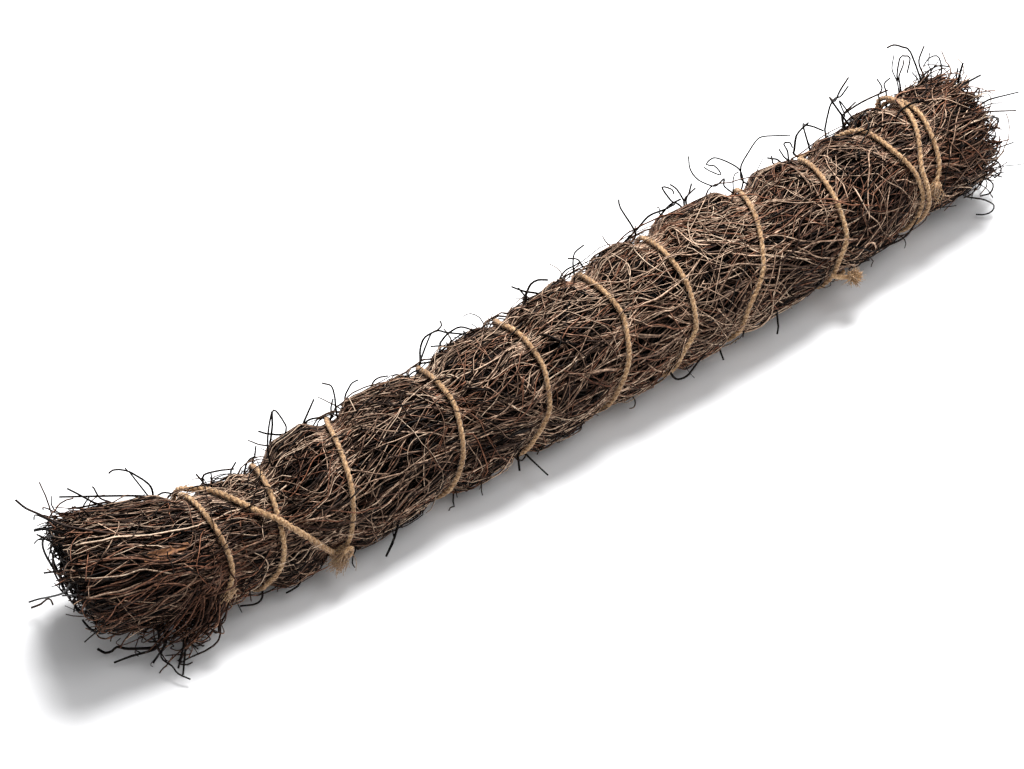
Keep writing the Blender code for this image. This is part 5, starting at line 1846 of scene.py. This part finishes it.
    def fuzz(self, line: np.ndarray, swell: np.ndarray) -> list:
        """Let short fibres stand out of the twine.

        Args:
            line: the twine's middle line.
            swell: how thick the twine is there, as a share of its usual thickness.

        Returns:
            The fibres.
        """
        rng = np.random.default_rng(self.seed)
        ways = unit(np.gradient(line, axis=0))
        made = [fibre for row in self.brushes for fibre in self.brush(rng, row)]
        for place in rng.integers(2, len(line) - 2, self.fibres):
            sideways = unit(np.cross(ways[place], rng.normal(size=3)))
            lean = rng.choice((-1, 1)) * ways[place]
            root = line[place] + sideways * swell[place]
            length = rng.uniform(0.6, 2.2) + rng.exponential(0.35)
            middle = root + (sideways * 0.22 + lean * 0.85) * length * 0.5
            onward = sideways * 0.30 + lean * 0.7 + rng.normal(0, 0.3, 3)
            tip = middle + onward * length * 0.5
            made.append(Strand(np.array((root, middle, tip)), np.array(self.fibre_radii)))
        for strand in made:
            strand.points[:, 2] = np.maximum(strand.points[:, 2], self.fibre_floor)
        return made

    def build(self, jute: bpy.types.Material) -> list:
        """Make and dress the twine and its fuzz.

        Args:
            jute: their material.

        Returns:
            The twine and the fuzz, with their knots and brushes.
        """
        line, totals = self.route()
        swell = np.interp(totals, *self.swell)
        log.info("twine length %.0f mm", len(line) * self.step)
        items = [
            StrandMesh(self.name, 6).build([*self.plies(line, swell), *self.knots()]),
            StrandMesh(f"{self.name}_fuzz", 3).build(self.fuzz(line, swell)),
        ]
        for item in items:
            item.data.materials.append(jute)
        return items


@dataclass
class BarkFlake:
    """A ragged flake of bark caught among the twigs of the near end."""

    x: float = -201.5
    angle: float = 61.5
    turn: float = 5.0
    length: float = 18.0
    width: float = 4.4
    thickness: float = 0.7
    around: float = 24.6
    window: tuple = (6.5, 1.3)
    window_shift: float = 2.5
    window_depth: float = 1.6
    columns: int = 22
    rows: int = 8
    seed: int = 9
    name: str = "ragged_flake"

    @staticmethod
    def cap(x: np.ndarray, angle: np.ndarray, radius: np.ndarray) -> np.ndarray:
        """Tell how high twigs may lie where the flake is.

        Args:
            x: places along the bundle.
            angle: angles around the axis.
            radius: the twigs' radii.

        Returns:
            Their greatest heights over the form.
        """
        across = turn_from(angle, BarkFlake.angle) * math.pi * 2 * BarkFlake.around / TURN
        long, broad = BarkFlake.window
        near = ((x - BarkFlake.x - BarkFlake.window_shift) / long) ** 2 + (across / broad) ** 2
        return np.where(near < 1, -BarkFlake.window_depth - radius, np.inf)

    def build(self, bark: bpy.types.Material) -> bpy.types.Object:
        """Shape the flake over the twigs, give it thickness and dress it.

        Args:
            bark: the flake's material.

        Returns:
            The flake.
        """
        rng = np.random.default_rng(self.seed)
        bpy.ops.object.select_all(action="DESELECT")
        grid = {"x_subdivisions": self.columns, "y_subdivisions": self.rows}
        bpy.ops.mesh.primitive_grid_add(size=1.0, **grid)
        item = bpy.context.object
        item.name = item.data.name = self.name
        spots = np.empty(len(item.data.vertices) * 3)
        item.data.vertices.foreach_get("co", spots)
        spots = spots.reshape(-1, 3)
        along, over = spots[:, 0] * 2, spots[:, 1] * 2
        ragged = 0.62 + 0.3 * np.cos(along * 2.4 + 0.3)
        ragged += 0.14 * np.sin(along * 17) + 0.1 * np.sin(along * 37 + 1)
        u = along * self.length / 2 + rng.normal(0, 0.12, len(along))
        u += 1.5 * np.abs(over) * np.sin(along * 9)
        v = over * self.width / 2 * ragged
        lean = math.radians(self.turn)
        x = self.x + u * math.cos(lean) - v * math.sin(lean)
        side = u * math.sin(lean) + v * math.cos(lean)
        degree = math.pi * 2 * self.around / TURN
        height = -0.9 + 0.6 * over ** 2 + 0.4 * np.sin(along * 6) + rng.normal(0, 0.08, len(along))
        placed = FORM.place(x, self.angle + side / degree, FORM.radius(x) + height)
        item.data.vertices.foreach_set("co", (placed * MM).ravel())
        item.data.update()
        solid = item.modifiers.new("thickness", "SOLIDIFY")
        solid.thickness = self.thickness * MM
        bpy.ops.object.modifier_apply(modifier=solid.name)
        bpy.ops.object.shade_smooth()
        item.data.materials.append(bark)
        log.info("%s: %d faces", self.name, len(item.data.polygons))
        return item


def hand_over(item: bpy.types.Object, slot: str, *nodes: str) -> None:
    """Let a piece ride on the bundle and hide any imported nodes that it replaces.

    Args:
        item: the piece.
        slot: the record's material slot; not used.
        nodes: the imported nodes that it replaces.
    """
    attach(item, "root")
    if nodes:
        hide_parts(*nodes)


def main() -> None:
    """Build and dress the bundle, then its studio."""
    logging.basicConfig(level=logging.INFO, format="%(message)s")
    bpy.ops.object.select_all(action="DESELECT")
    bpy.context.scene.view_settings.view_transform = "Standard"
    studio = Studio()
    studio.add_camera()
    bark = BarkFinish().material()
    jute = JuteFinish().material()
    hand_over(InnerTwigs().build(bark), "dark_bark", "packed_twigs")
    for item in OuterTwigs().build(bark):
        hand_over(item, "dark_bark")
    near_end = EndTwigs(Side.NEAR, 640, 31, NEAR_STYLES, centre=215.0, spread=55.0)
    far_end = EndTwigs(Side.FAR, 640, 47, FAR_STYLES, centre=150.0, spread=60.0)
    for piece in (near_end, far_end, RimHoops(), SplayedTuft(), Frizz()):
        hand_over(piece.build(bark), "brown_bark")
    loose = sorted(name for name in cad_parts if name.startswith("twig_"))
    hand_over(StrayTwigs().build(bark), "brown_bark", *loose)
    twine, fuzz = Twine().build(jute)
    hand_over(twine, "jute", "twine")
    hand_over(fuzz, "jute")
    hand_over(BarkFlake().build(FlakeFinish().material()), "inner_bark", "bark_flake")
    studio.add_floor()
    studio.add_lights()


if __name__ == "__main__":
    main()
